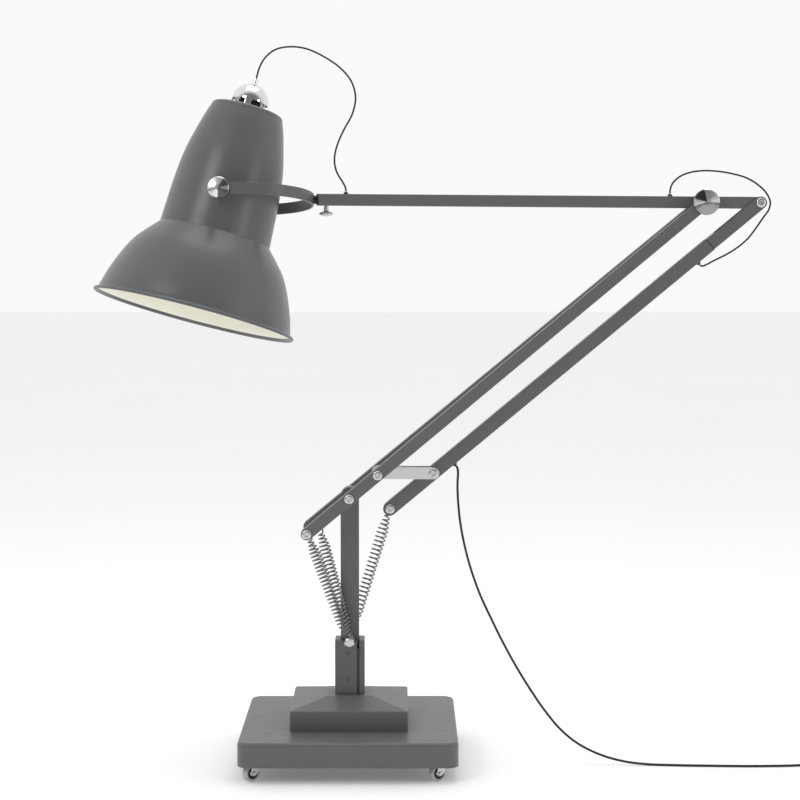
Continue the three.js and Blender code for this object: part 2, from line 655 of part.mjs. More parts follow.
function upperArmTube() {
  const outline = barOutline(-UPPER_ARM_REACH, LINK_LENGTH, UPPER_ARM_HEIGHT, false, true);
  const tube = slab(outline, UPPER_ARM_THICKNESS, 1.5);
  const inY = UPPER_ARM_THICKNESS / 2 - ARM_WALL;
  const inZ = UPPER_HALF - ARM_WALL;
  return cut(
    tube,
    block(-UPPER_ARM_REACH - 1, LINK_LENGTH - 25, -inY, inY, -inZ, inZ),
    rodY(ELBOW_PIN_RADIUS + RUNNING, -20, 20),
    moved(rodY(PIN_RADIUS + RUNNING, -20, 20), LINK_LENGTH, 0, 0),
    moved(rodZ(LOOP_CORD_RADIUS, 0, 20, 10), -LOOP_ENTRY, 0, 0),
    moved(rodZ(LOOP_CORD_RADIUS, 0, 20, 10), -HEAD_CORD_ENTRY, 0, 0),
    moved(rodZ(3.6, -20, 0, 12), THUMBSCREW_PLACE, 0, 0),
  );
}

// the plug in the arm's free end, bored for the stirrup's stub
function armEndPlug() {
  const inY = UPPER_ARM_THICKNESS / 2 - ARM_WALL - GAP;
  const inZ = UPPER_HALF - ARM_WALL - GAP;
  const half = UPPER_ARM_THICKNESS / 2;
  const end = -UPPER_ARM_REACH;
  const body = block(end - 2, end + 34, -inY, inY, -inZ, inZ);
  const flange = block(end - 3, end - GAP, -half, half, -UPPER_HALF, UPPER_HALF);
  return cut(join(body, flange), moved(rodZ(PIN_RADIUS + RUNNING, -4, 30).rotateY(Math.PI / 2), end, 0, 0));
}

function thumbscrew() {
  const stemTop = -UPPER_HALF + ARM_WALL;
  return turnedZ([
    [0, stemTop], [3, stemTop], [3, -UPPER_HALF - 1], [5, -UPPER_HALF - 1], [5, -UPPER_HALF - 12],
    [14.5, -UPPER_HALF - 15], [14.5, -UPPER_HALF - 18.5], [8, -UPPER_HALF - 22], [0, -UPPER_HALF - 22.5],
  ]);
}

piece('upper_arm', upperArmTube(), paint, upperArm);
piece('arm_end_plug', armEndPlug(), black, upperArm);
piece('thumbscrew', thumbscrew(), steel, upperArm, [THUMBSCREW_PLACE, 0, 0]);
piece('loop_grommet_high', grommet(UPPER_HALF, 1, LOOP_CORD_RADIUS), black, upperArm, [-LOOP_ENTRY, 0, 0]);
piece('head_cord_grommet', grommet(UPPER_HALF, 1, LOOP_CORD_RADIUS), black, upperArm,
  [-HEAD_CORD_ENTRY, 0, 0]);

// ---------------------------------------------------------------- stirrup

const stirrup = new THREE.Group();
stirrup.rotation.x = degrees(STIRRUP_ROLL);
upperArm.add(stirrup);

const BAND_OUTSIDE = STIRRUP_HALF_WIDTH + STIRRUP_BAND;

function stirrupBand() {
  const centre = -STIRRUP_BACK - BAND_OUTSIDE;
  const tip = -SHADE_PIVOT_REACH - STIRRUP_HEIGHT / 2;
  const shape = new THREE.Shape();
  shape.moveTo(tip, -BAND_OUTSIDE);
  shape.lineTo(centre, -BAND_OUTSIDE);
  shape.absarc(centre, 0, BAND_OUTSIDE, -Math.PI / 2, Math.PI / 2, false);
  shape.lineTo(tip, BAND_OUTSIDE);
  shape.lineTo(tip, STIRRUP_HALF_WIDTH);
  shape.lineTo(centre, STIRRUP_HALF_WIDTH);
  shape.absarc(centre, 0, STIRRUP_HALF_WIDTH, Math.PI / 2, -Math.PI / 2, true);
  shape.lineTo(tip, -STIRRUP_HALF_WIDTH);
  const options = { depth: STIRRUP_HEIGHT, bevelEnabled: false, curveSegments: 18 };
  const band = new THREE.ExtrudeGeometry(shape, options);
  band.translate(0, 0, -STIRRUP_HEIGHT / 2);
  const half = STIRRUP_HEIGHT / 2;
  const mask = join(
    block(-SHADE_PIVOT_REACH, -STIRRUP_BACK + 1, -BAND_OUTSIDE - 1, BAND_OUTSIDE + 1, -half, half),
    moved(rodY(half, -BAND_OUTSIDE - 1, BAND_OUTSIDE + 1), -SHADE_PIVOT_REACH, 0, 0),
  );
  return cut(
    keep(band, mask),
    moved(rodY(PIN_RADIUS + RUNNING, -BAND_OUTSIDE - 1, BAND_OUTSIDE + 1), -SHADE_PIVOT_REACH, 0, 0),
    moved(rodZ(PIN_RADIUS + RUNNING, -30, 30).rotateY(Math.PI / 2), -STIRRUP_BACK, 0, 0),
  );
}

// the stub that joins the stirrup to the arm end: a head inside the band and a collar outside it
function swivelStub() {
  const inside = -STIRRUP_BACK - STIRRUP_BAND - 2 * GAP;
  const outside = -STIRRUP_BACK + GAP;
  const armEnd = -UPPER_ARM_REACH - 3 - GAP;
  return pin([
    [9, inside - 4, inside], [PIN_RADIUS, inside, outside], [9, outside, armEnd],
    [PIN_RADIUS, armEnd, 28 - UPPER_ARM_REACH],
  ]).rotateZ(-Math.PI / 2);
}

piece('stirrup', stirrupBand(), paint, stirrup);
piece('swivel_stub', swivelStub(), black, stirrup);

// ---------------------------------------------------------------- shade

const shadeGroup = new THREE.Group();
shadeGroup.position.x = -SHADE_PIVOT_REACH;
shadeGroup.rotation.y = degrees(SHADE_TILT);
stirrup.add(shadeGroup);

// heights below are above the rim's plane; the group's origin is on the pivot
const h = (height) => height - SHADE_PIVOT_HEIGHT;
const PIVOT_RADIUS = 113.7; // the body's radius at the pivot
const DOME_END = Math.acos(NIPPLE_RADIUS / DOME_RADIUS); // where the dome's curve meets the nipple

// the bell from its lip up to the neck, and the body from the neck up to the shoulder: radius, height
const BELL_PROFILE = [
  [204, 12], [197, 38], [186, 69], [172.5, 100], [158, 125], [143.5, 143], [128, 160], [118.3, 170.5],
];
const BODY_PROFILE = [
  [117.6, 170.5 + GAP], [115.5, 212], [112, 274], [104.5, 335], [91, 391], [83, 419], [77, 436],
];

// a wall's inner side, from its end back to its start
function lining(profile) {
  return [...profile].reverse().map(([radius, height]) => [radius - SHADE_WALL, h(height - SHADE_WALL / 2)]);
}

function bellShell() {
  const rim = SHADE_RIM_RADIUS;
  const outer = [[rim - 2, h(-3)], [rim, h(0)], [rim - 2, h(3)], [rim - 8, h(6)]];
  BELL_PROFILE.forEach(([radius, height]) => outer.push([radius, h(height)]));
  const inner = [...lining(BELL_PROFILE), [rim - 10, h(2)], [rim - 7, h(-1)]];
  return turnedZ([...outer, ...inner, outer[0]], SHADE_SIDES);
}

function shadeShell() {
  const outer = BODY_PROFILE.map(([radius, height]) => [radius, h(height)]);
  const shoulder = outer[outer.length - 1][0];
  outer.push([shoulder - 4, h(SHADE_TOP - 2)], [shoulder - 12, h(SHADE_TOP)]);
  outer.push([SHADE_TOP_HOLE, h(SHADE_TOP)]);
  const under = h(SHADE_TOP - SHADE_WALL);
  const inner = [[SHADE_TOP_HOLE, under], [shoulder - 13, under], ...lining(BODY_PROFILE).slice(0, -1)];
  inner.push([BODY_PROFILE[0][0] - SHADE_WALL, outer[0][1]]);
  return turnedZ([...outer, ...inner, outer[0]], SHADE_SIDES);
}

// the ribbed black neck under the cap, bored for the head cord
function capCollar() {
  const bottom = h(SHADE_TOP + GAP);
  const bore = LOOP_CORD_RADIUS;
  const profile = [[bore, bottom], [COLLAR_RADIUS + 2, bottom], [COLLAR_RADIUS + 2, bottom + 2]];
  for (let rib = 0; rib < 5; rib += 1) {
    const foot = bottom + 2 + rib * (COLLAR_HEIGHT - 2) / 5;
    profile.push([COLLAR_RADIUS - 1.5, foot], [COLLAR_RADIUS - 1.5, foot + 2], [COLLAR_RADIUS, foot + 3]);
    profile.push([COLLAR_RADIUS, foot + (COLLAR_HEIGHT - 2) / 5]);
  }
  profile.push([bore, bottom + COLLAR_HEIGHT], [bore, bottom]);
  return turnedZ(profile, 24);
}

// a hollow domed cap that stands on four legs, with a nipple on top that the head cord leaves by
function capDome() {
  const bottom = h(SHADE_TOP + GAP);
  const top = bottom + DOME_HEIGHT;
  const spring = top - DOME_RADIUS;
  const inside = DOME_RADIUS - 2.5;
  const outer = [[DOME_RADIUS, bottom], [DOME_RADIUS, spring]];
  const inner = [[inside, spring], [inside, bottom], [DOME_RADIUS, bottom]];
  for (let i = 1; i <= 6; i += 1) {
    const turn = i / 6 * DOME_END;
    outer.push([DOME_RADIUS * Math.cos(turn), spring + DOME_RADIUS * Math.sin(turn)]);
    inner.unshift([inside * Math.cos(turn), spring + inside * Math.sin(turn)]);
  }
  const bore = LOOP_CORD_RADIUS;
  const end = top + NIPPLE_HEIGHT;
  outer.push([NIPPLE_RADIUS, end - 2], [NIPPLE_RADIUS - 1.5, end], [bore, end], [bore, spring + inside]);
  const shell = turnedZ([...outer, ...inner], 24);
  const windows = [0, 1].map((i) => block(
    -2 * DOME_RADIUS, 2 * DOME_RADIUS, -DOME_WINDOW_WIDTH / 2, DOME_WINDOW_WIDTH / 2,
    bottom - 1, bottom + DOME_WINDOW_HEIGHT,
  ).rotateZ((i + 0.5) * Math.PI / 2));
  return cut(shell, ...windows);
}

function lampholder() {
  const top = SHADE_TOP - SHADE_WALL - GAP;
  return turnedZ([
    [0, h(top)], [30, h(top)], [30, h(top - 4)], [21, h(top - 6)], [21, h(top - 30)], [24, h(top - 32)],
    [24, h(top - 56)], [14.5, h(top - 56)], [14.5, h(top - 40)], [0, h(top - 40)],
  ]);
}

function bulb() {
  const top = SHADE_TOP - SHADE_WALL - 2 * GAP - 41;
  const centre = top - 88;
  const profile = [[0, h(top)], [13, h(top)], [13, h(top - 24)], [15, h(top - 30)]];
  for (let i = 0; i <= 8; i += 1) {
    const turn = 0.9 - i * (0.9 + Math.PI / 2) / 8;
    profile.push([BULB_RADIUS * Math.cos(turn), h(centre + BULB_RADIUS * Math.sin(turn))]);
  }
  return turnedZ(profile, 20);
}

// spacers between the shade's side and the stirrup, bored for the knobs' stems
const BOSS_INSIDE = PIVOT_RADIUS + 2 * GAP;
const BOSS_OUTSIDE = STIRRUP_HALF_WIDTH - GAP;
const KNOB_STEM_DEPTH = 9;

function shadeBoss(side) {
  const boss = turnedY([
    [0, BOSS_INSIDE], [15, BOSS_INSIDE], [15, BOSS_INSIDE + 3], [11, BOSS_INSIDE + 5], [11, BOSS_OUTSIDE],
    [PIN_RADIUS + RUNNING, BOSS_OUTSIDE], [PIN_RADIUS + RUNNING, BOSS_OUTSIDE - KNOB_STEM_DEPTH - 1],
    [0, BOSS_OUTSIDE - KNOB_STEM_DEPTH - 1],
  ]);
  return side > 0 ? boss : boss.rotateX(Math.PI);
}

function shadeKnob(side) {
  const face = BAND_OUTSIDE + GAP;
  const r = SHADE_KNOB_RADIUS;
  const turned = turnedY([
    [0, BOSS_OUTSIDE - KNOB_STEM_DEPTH], [PIN_RADIUS, BOSS_OUTSIDE - KNOB_STEM_DEPTH], [PIN_RADIUS, face],
    [r - 2, face], [r, face + 2], [r, face + 5], [r - 1.5, face + 6.5],
    [r * 0.35, face + 10.5], [0, face + 10.8],
  ], 20);
  return side > 0 ? turned : turned.rotateX(Math.PI);
}

piece('bell', bellShell(), paint, shadeGroup);
piece('shade', shadeShell(), paint, shadeGroup);
piece('cap_collar', capCollar(), black, shadeGroup);
piece('cap_dome', capDome(), chrome, shadeGroup);
piece('lampholder', lampholder(), porcelain, shadeGroup);
piece('bulb', bulb(), glass, shadeGroup);
piece('shade_boss_near', shadeBoss(-1), steel, shadeGroup);
piece('shade_boss_far', shadeBoss(1), steel, shadeGroup);
piece('shade_knob_near', shadeKnob(-1), steel, shadeGroup);
piece('shade_knob_far', shadeKnob(1), steel, shadeGroup);

// ---------------------------------------------------------------- springs

// A tension spring between two pins along Y: an eye round each pin, and a coil that narrows at its ends.
function springPath(length, turns, pinRadii) {
  const points = [];
  const eye = pinRadii.map((radius) => radius + SPRING_WIRE + SPRING_EYE_ROOM);
  const lead = 16;
  for (let i = 0; i <= 6; i += 1) {
    const turn = degrees(40 - i * 220 / 6);
    points.push(new THREE.Vector3(eye[0] * Math.cos(turn), 0, eye[0] * Math.sin(turn)));
  }
  const steps = turns * SPRING_STEPS_PER_TURN;
  for (let i = 0; i <= steps; i += 1) {
    const t = i / steps;
    const taper = Math.min(1, 0.62 + 3.2 * Math.min(t, 1 - t));
    const turn = Math.PI + i / SPRING_STEPS_PER_TURN * 2 * Math.PI;
    const radius = SPRING_RADIUS * taper;
    const reach = lead + (length - 2 * lead) * t;
    points.push(new THREE.Vector3(radius * Math.cos(turn), radius * Math.sin(turn), reach));
  }
  for (let i = 0; i <= 6; i += 1) {
    const turn = degrees(180 - i * 220 / 6);
    points.push(new THREE.Vector3(eye[1] * Math.cos(turn), 0, length + eye[1] * Math.sin(turn)));
  }
  const path = new THREE.CatmullRomCurve3(points);
  path.arcLengthDivisions = points.length * 8;
  return { path, steps: points.length + 12 };
}

function wireSection(radius, sides) {
  const points = [];
  for (let i = 0; i < sides; i += 1) {
    const turn = (i + 0.5) / sides * 2 * Math.PI;
    points.push(new THREE.Vector2(radius * Math.cos(turn), radius * Math.sin(turn)));
  }
  return new THREE.Shape(points);
}

function addSpring(name, top, bottom, turns, pinRadii) {
  const from = new THREE.Vector3(...top);
  const to = new THREE.Vector3(...bottom);
  const { path, steps } = springPath(from.distanceTo(to), turns, pinRadii);
  const options = { steps, extrudePath: path, bevelEnabled: false };
  const geometry = new THREE.ExtrudeGeometry(wireSection(SPRING_WIRE, SPRING_SIDES), options);
  const mesh = piece(name, geometry, chrome, hardware, top);
  mesh.quaternion.setFromUnitVectors(new THREE.Vector3(0, 0, 1), to.sub(from).normalize());
}

const LOW_END = along(MAIN_PIVOT, ARM_ANGLE, -ARM_TAIL);
const PEG = along(MAIN_PIVOT, ARM_ANGLE, INNER_SPRING_PEG[0], INNER_SPRING_PEG[1]);
const BAR_LOW_END = along(LINK_END, ARM_ANGLE, -SECOND_BAR_TAIL);
const NEAR_SPRING_Y = SPRING_FROM_TUBE + ARM_THICKNESS / 2 - ARM_HALF_SPREAD;
addSpring('spring_near', [LOW_END.x, NEAR_SPRING_Y, LOW_END.z], [ANCHOR.x, -57, ANCHOR.z], 24,
  [PIN_RADIUS, MAIN_PIN_RADIUS]);
addSpring('spring_inner', [PEG.x, -30, PEG.z], [ANCHOR.x, -31.5, ANCHOR.z], 24, [4, MAIN_PIN_RADIUS]);
addSpring('spring_rear', [BAR_LOW_END.x, SPRING_SEAT_BACK, BAR_LOW_END.z], [ANCHOR.x, 36, ANCHOR.z], 24,
  [PIN_RADIUS, MAIN_PIN_RADIUS]);

// ---------------------------------------------------------------- cords

// the points where a cord leaves a piece are on that piece; the rest are its hand-set route
function addCord(name, radius, route, steps, sides) {
  const path = new THREE.CatmullRomCurve3(route.map((point) => new THREE.Vector3(...point)));
  path.arcLengthDivisions = 800;
  const options = { steps, extrudePath: path, bevelEnabled: false };
  piece(name, new THREE.ExtrudeGeometry(wireSection(radius, sides), options), black, cordage);
}

const HEAD_CORD_ROUTE = [
  [-195.4, 35.7, 1438], [-193.4, 36.7, 1446], [-188.5, 38.6, 1462], [-176.5, 40, 1482],
  [-156, 40, 1498], [-126, 38, 1504], [-92, 35, 1500], [-54, 30, 1483], [-18, 26, 1458],
  [5, 22, 1429], [13, 18, 1396], [6, 15, 1362], [-11, 11, 1330], [-25, 7, 1298], [-31, 4, 1267],
  [-26, 1, 1241], [-14, 0, 1221], [-8, 0, 1209], [-7, 0, 1201.4],
];
const ELBOW_CORD_ROUTE = [
  [670, 0, 1196.6], [670.5, 0, 1204], [675, 0, 1217], [689, 0, 1231], [710, 0, 1240], [737, 0, 1244],
  [768, 0, 1243], [799, 0, 1238], [830, 0, 1229], [855, 0, 1214], [872, 0, 1197], [880, 0, 1179],
  [877, 0, 1163], [866, 0, 1147], [851, 0, 1125], [836, 0, 1105], [815, 0, 1086], [790, 0, 1070],
  [765, 0, 1057.5], [750, 0, 1049.5], [741, 0, 1045.5], [737, 0, 1045.6], [734.2, 0, 1047.8],
];
const MAINS_CORD_ROUTE = [
  [224.5, 0, 624.4], [227, 0, 620.5], [228.5, 0, 611], [227.5, -1, 590], [228, -3, 560],
  [234, -7, 500], [249, -13, 430], [272, -19, 361], [300, -25, 300], [325, -30, 250],
  [354, -35, 198], [384, -40, 150], [412, -45, 110], [446, -50, 70], [482, -55, 42], [526, -60, 21],
  [575, -66, 8], [625, -72, 3.2], [680, -78, 2.8], [755, -83, 2.8], [840, -86, 2.8], [910, -83, 2.8],
  [955, -77.5, 2.8], [984.5, -75, 2.8],
];

addCord('head_cord', LOOP_CORD_RADIUS, HEAD_CORD_ROUTE, 34, 8);
addCord('elbow_cord', LOOP_CORD_RADIUS, ELBOW_CORD_ROUTE, 34, 8);
addCord('mains_cord', MAINS_CORD_RADIUS, MAINS_CORD_ROUTE, 64, 8);

const COIL_BOTTOM = COIL_TIE + GAP;

function coil() {
  return turnedZ([
    [COIL_INNER, COIL_BOTTOM], [COIL_OUTER, COIL_BOTTOM], [COIL_OUTER, COIL_BOTTOM + COIL_HEIGHT],
    [COIL_INNER, COIL_BOTTOM + COIL_HEIGHT], [COIL_INNER, COIL_BOTTOM],
  ], 24);
}

function coilTie() {
  const clear = GAP + 0.6;
  const x0 = COIL_INNER - clear;
  const x1 = COIL_OUTER + clear;
  const z1 = COIL_BOTTOM + COIL_HEIGHT + GAP;
  return cut(
    block(x0 - COIL_TIE, x1 + COIL_TIE, -4, 4, 0, z1 + COIL_TIE),
    block(x0, x1, -5, 5, COIL_TIE, z1),
  );
}

// a two-pin plug with its pins along +X and a tapered boot behind it
function plug() {
  const body = raised(roundedRectangle(36, 26, 8), 0, 15).translate(31, 0, -7.5);
  const boot = turnedY([[0, 0], [3.6, 0], [6, 15], [0, 15]], 16).rotateZ(-Math.PI / 2);
  const prong = (y) => moved(rodY(2.4, 0, 20, 12).rotateZ(-Math.PI / 2), 48, y, 0);
  return join(body, boot, prong(-9.5), prong(9.5));
}

piece('mains_coil', coil(), black, cordage, [COIL_CENTRE[0], COIL_CENTRE[1], 0]);
const tie = piece('cord_tie', coilTie(), black, cordage, [COIL_CENTRE[0], COIL_CENTRE[1], 0]);
tie.rotation.z = degrees(-90);
const PLUG_LINE = COIL_CENTRE[1] + COIL_OUTER - MAINS_CORD_RADIUS;
piece('mains_plug', plug(), black, cordage, [COIL_CENTRE[0] + 22, PLUG_LINE, 7.6]);

// ---------------------------------------------------------------- origin

// on the floor, under the middle of the lamp without its loose cords
lamp.updateMatrixWorld(true);
const box = new THREE.Box3().setFromObject(hardware, true);
lamp.position.set(-(box.min.x + box.max.x) / 2, -(box.min.y + box.max.y) / 2, -box.min.z);

export default lamp;
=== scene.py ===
"""The fine parts and the finishes of a castored floor lamp with a sprung, balanced arm."""

import json
import math

import bmesh
import bpy
from bpy.props import FloatProperty, FloatVectorProperty, IntProperty, PointerProperty
from mathutils import Matrix, Vector


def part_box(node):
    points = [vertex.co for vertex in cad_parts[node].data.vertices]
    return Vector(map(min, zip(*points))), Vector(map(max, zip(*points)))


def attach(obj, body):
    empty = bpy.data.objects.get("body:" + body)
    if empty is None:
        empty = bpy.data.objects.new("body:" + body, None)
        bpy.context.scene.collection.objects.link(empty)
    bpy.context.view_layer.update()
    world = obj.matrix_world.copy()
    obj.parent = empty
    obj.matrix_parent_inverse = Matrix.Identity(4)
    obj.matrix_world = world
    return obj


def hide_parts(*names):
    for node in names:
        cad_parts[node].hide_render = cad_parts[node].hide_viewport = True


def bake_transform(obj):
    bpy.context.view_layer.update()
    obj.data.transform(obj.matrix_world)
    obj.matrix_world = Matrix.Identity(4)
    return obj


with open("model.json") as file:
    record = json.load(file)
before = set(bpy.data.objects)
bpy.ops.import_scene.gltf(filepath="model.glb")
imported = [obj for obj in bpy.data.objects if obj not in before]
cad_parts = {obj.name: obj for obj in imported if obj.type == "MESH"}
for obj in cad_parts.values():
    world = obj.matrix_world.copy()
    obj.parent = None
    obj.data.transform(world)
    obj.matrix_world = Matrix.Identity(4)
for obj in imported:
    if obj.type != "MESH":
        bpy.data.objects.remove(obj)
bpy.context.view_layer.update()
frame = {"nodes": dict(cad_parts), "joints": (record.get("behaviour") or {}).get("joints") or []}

bl_info = {
    "name": "Balanced-arm floor lamp",
    "version": (1, 0, 0),
    "blender": (4, 5, 0),
    "location": "3D View > Sidebar > Lamp",
    "description": "Fine parts and finishes of a castored floor lamp with a sprung arm",
    "category": "Add Mesh",
}

# ------------------------------------------------------------------ places from the frame

MM = 0.001
GAP = 0.3  # between pieces that touch
JOINTS = {joint["name"]: joint for joint in frame["joints"]}


def pivot(joint):
    return Vector(JOINTS[joint]["pos_m"])


def axis(joint):
    return Vector(JOINTS[joint]["axis"]).normalized()


def middle(node):
    """The mean of a node's corners, which lies on the axis of a turned node."""
    corners = frame["nodes"][node].data.vertices
    return sum((corner.co for corner in corners), Vector()) / len(corners)


class Site:
    """A local frame in millimetres, on one of the lamp's moving parts."""

    def __init__(self, origin, x_axis, y_axis):
        x = Vector(x_axis).normalized()
        y = Vector(y_axis)
        y = (y - x * y.dot(x)).normalized()
        self.turn = Matrix((x, y, x.cross(y))).transposed()
        self.origin = Vector(origin)
        self.matrix = Matrix.Translation(self.origin) @ self.turn.to_4x4() @ Matrix.Scale(MM, 4)

    def point(self, x, y, z):
        return self.matrix @ Vector((x, y, z))

    def direction(self, x, y, z):
        return self.turn @ Vector((x, y, z))

    def moved(self, x, y, z):
        """The same axes about another point."""
        return Site(self.point(x, y, z), self.direction(1, 0, 0), self.direction(0, 1, 0))


ACROSS = Vector((0, 1, 0))
UPWARD = Vector((0, 0, 1))
column_low, column_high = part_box("column")
LAMP_FOOT = Vector(((column_low.x + column_high.x) / 2, (column_low.y + column_high.y) / 2, 0))
ARM_LINE = pivot("elbow_hinge") - pivot("main_arm_hinge")
SHADE_AXIS = (middle("cap_dome") - middle("lampholder")).normalized()

BASE = Site(LAMP_FOOT, (1, 0, 0), ACROSS)
ARM = Site(pivot("main_arm_hinge"), ARM_LINE, ACROSS)
LINK = Site(pivot("link_hinge"), pivot("second_bar_hinge") - pivot("link_hinge"), ACROSS)
BAR = Site(pivot("second_bar_hinge"), ARM_LINE, ACROSS)
FORK = Site(pivot("tail_hinge"), ARM_LINE, ACROSS)
UPPER = Site(pivot("elbow_hinge"), pivot("tail_hinge") - pivot("elbow_hinge"), ACROSS)
STIRRUP = Site(pivot("elbow_hinge"), axis("stirrup_roll"), axis("shade_tilt"))
SHADE = Site(pivot("shade_tilt"), axis("shade_tilt").cross(SHADE_AXIS), axis("shade_tilt"))


def castor_site(number):
    """A castor's frame on the floor under its swivel, with X pointing the way it trails."""
    foot = pivot(f"castor_swivel_{number}")
    axle = axis(f"wheel_spin_{number}")
    return Site((foot.x, foot.y, 0), axle.cross(UPWARD), axle)


# sizes in millimetres, worked out from the frame
ARM_LENGTH = ARM_LINE.length / MM
LINK_LENGTH = (pivot("second_bar_hinge") - pivot("link_hinge")).length / MM
BAR_LENGTH = (pivot("tail_hinge") - pivot("second_bar_hinge")).length / MM
PIVOT_HEIGHT = pivot("main_arm_hinge").z / MM
SHADE_REACH = (pivot("elbow_hinge") - pivot("shade_tilt")).length / MM
BASE_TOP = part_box("base_cover")[1].z / MM
BASE_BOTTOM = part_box("base_cover")[0].z / MM
BASE_WIDTH = (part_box("base_cover")[1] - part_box("base_cover")[0]).x / MM
PLINTH_WIDTH = (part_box("base_plinth")[1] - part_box("base_plinth")[0]).x / MM
PAD_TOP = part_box("base_plinth")[1].z / MM
SOCKET_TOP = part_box("column_socket")[1].z / MM
SOCKET_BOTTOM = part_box("column_socket")[0].z / MM
ANCHOR_HEIGHT = middle("anchor_pin").z / MM
COLUMN_WIDTH = (column_high - column_low).x / MM
COLUMN_DEPTH = (column_high - column_low).y / MM

# sizes in millimetres that the frame doesn't hold
ARM_TAIL = 115
ARM_HEIGHT = 25
ARM_THICKNESS = 24
ARM_HALF_SPREAD = 63
BAR_TAIL = 119
BAR_HEIGHT = 28.5
BAR_THICKNESS = 28
FORK_LENGTH = 134
FORK_ROOT = 22
FORK_HEIGHT = 26
FORK_INSIDE = 12.6
FORK_OUTSIDE = 16.6
UPPER_REACH = 806
UPPER_HEIGHT = 24.5
UPPER_THICKNESS = 24
LINK_WIDTH = 25
LINK_INSIDE = 14.6
LINK_OUTSIDE = 18.6
STIRRUP_HALF_WIDTH = 138
STIRRUP_BAND = 4
STIRRUP_HEIGHT = 24
STIRRUP_BACK = 815
HEAD_RADIUS = 10.2
SHADE_PIVOT_HEIGHT = 250  # above the plane of the shade's rim

ELBOW_HALF_SPREAD = UPPER_THICKNESS / 2 + ARM_THICKNESS / 2 + 1.5
SPLAY = math.atan((ARM_HALF_SPREAD - ELBOW_HALF_SPREAD) / (ARM_LENGTH + ARM_TAIL))


def half_spread(place):
    """From the lower arm's middle to the middle of a tube, this far up from the main pivot."""
    return ARM_HALF_SPREAD - (place + ARM_TAIL) * math.tan(SPLAY)


def tube_outside(place):
    """From the lower arm's middle to a tube's outer face."""
    return half_spread(place) + ARM_THICKNESS / 2


def tube_inside(place):
    """From the lower arm's middle to the widest that fits between its tubes."""
    return half_spread(place) - ARM_THICKNESS / 2 - 2 * GAP


# ------------------------------------------------------------------ settings


class LampColours(bpy.types.PropertyGroup):
    paint: FloatVectorProperty(
        name="Paint", description="Slate grey of the base, arms and shade", subtype="COLOR",
        default=(0.118, 0.124, 0.127)
    )
    enamel: FloatVectorProperty(
        name="Shade lining", description="Cream inside of the shade", subtype="COLOR",
        default=(0.93, 0.915, 0.8)
    )
    cord: FloatVectorProperty(
        name="Cord", description="Black flex, grommets and plug", subtype="COLOR",
        default=(0.012, 0.012, 0.013)
    )
    tyre: FloatVectorProperty(
        name="Tyre", description="Grey rubber of the castors", subtype="COLOR", default=(0.42, 0.42, 0.41)
    )


class LampSizes(bpy.types.PropertyGroup):
    turned_sides: IntProperty(name="Turned sides", description="Sides of a turned part", default=72, min=16)
    spring_turns: IntProperty(
        name="Spring turns", description="Turns of each tension spring", default=27, min=8
    )
    spring_wire: FloatProperty(
        name="Spring wire", description="Radius of the spring wire, in millimetres", default=1.7, min=0.5
    )
    edge: FloatProperty(
        name="Tube edge", description="Radius of the tubes' edges, in millimetres", default=2.0, min=0.2
    )


def colours():
    return bpy.context.scene.lamp_colours


def sizes():
    return bpy.context.scene.lamp_sizes


# ------------------------------------------------------------------ shader expressions


class Field:
    """A number, colour or vector that varies over a surface: a socket that takes arithmetic."""

    def __init__(self, shader, socket):
        self.shader = shader
        self.socket = socket

    def maths(self, operation, *others):
        return self.shader.node("ShaderNodeMath", {"operation": operation}, [self, *others])

    def __add__(self, other):
        return self.maths("ADD", other)

    __radd__ = __add__

    def __mul__(self, other):
        return self.maths("MULTIPLY", other)

    __rmul__ = __mul__

    def __sub__(self, other):
        return self.maths("SUBTRACT", other)

    def __rsub__(self, other):
        return self.shader.node("ShaderNodeMath", {"operation": "SUBTRACT"}, [other, self])

    def __truediv__(self, other):
        return self.maths("DIVIDE", other)

    def __pow__(self, other):
        return self.maths("POWER", other)

    def dot(self, direction):
        return self.shader.node(
            "ShaderNodeVectorMath", {"operation": "DOT_PRODUCT"}, [self, tuple(direction)], output="Value"
        )

    def length(self):
        return self.shader.node("ShaderNodeVectorMath", {"operation": "LENGTH"}, [self], output="Value")

    def minus(self, point):
        return self.shader.node("ShaderNodeVectorMath", {"operation": "SUBTRACT"}, [self, tuple(point)])

    def times(self, factors):
        return self.shader.node("ShaderNodeVectorMath", {"operation": "MULTIPLY"}, [self, tuple(factors)])

    def between(self, low, high):
        """0 below low, 1 above high, and smooth in between."""
        return self.shader.node(
            "ShaderNodeMapRange", {"interpolation_type": "SMOOTHSTEP"},
            {"Value": self, "From Min": low, "From Max": high}
        )


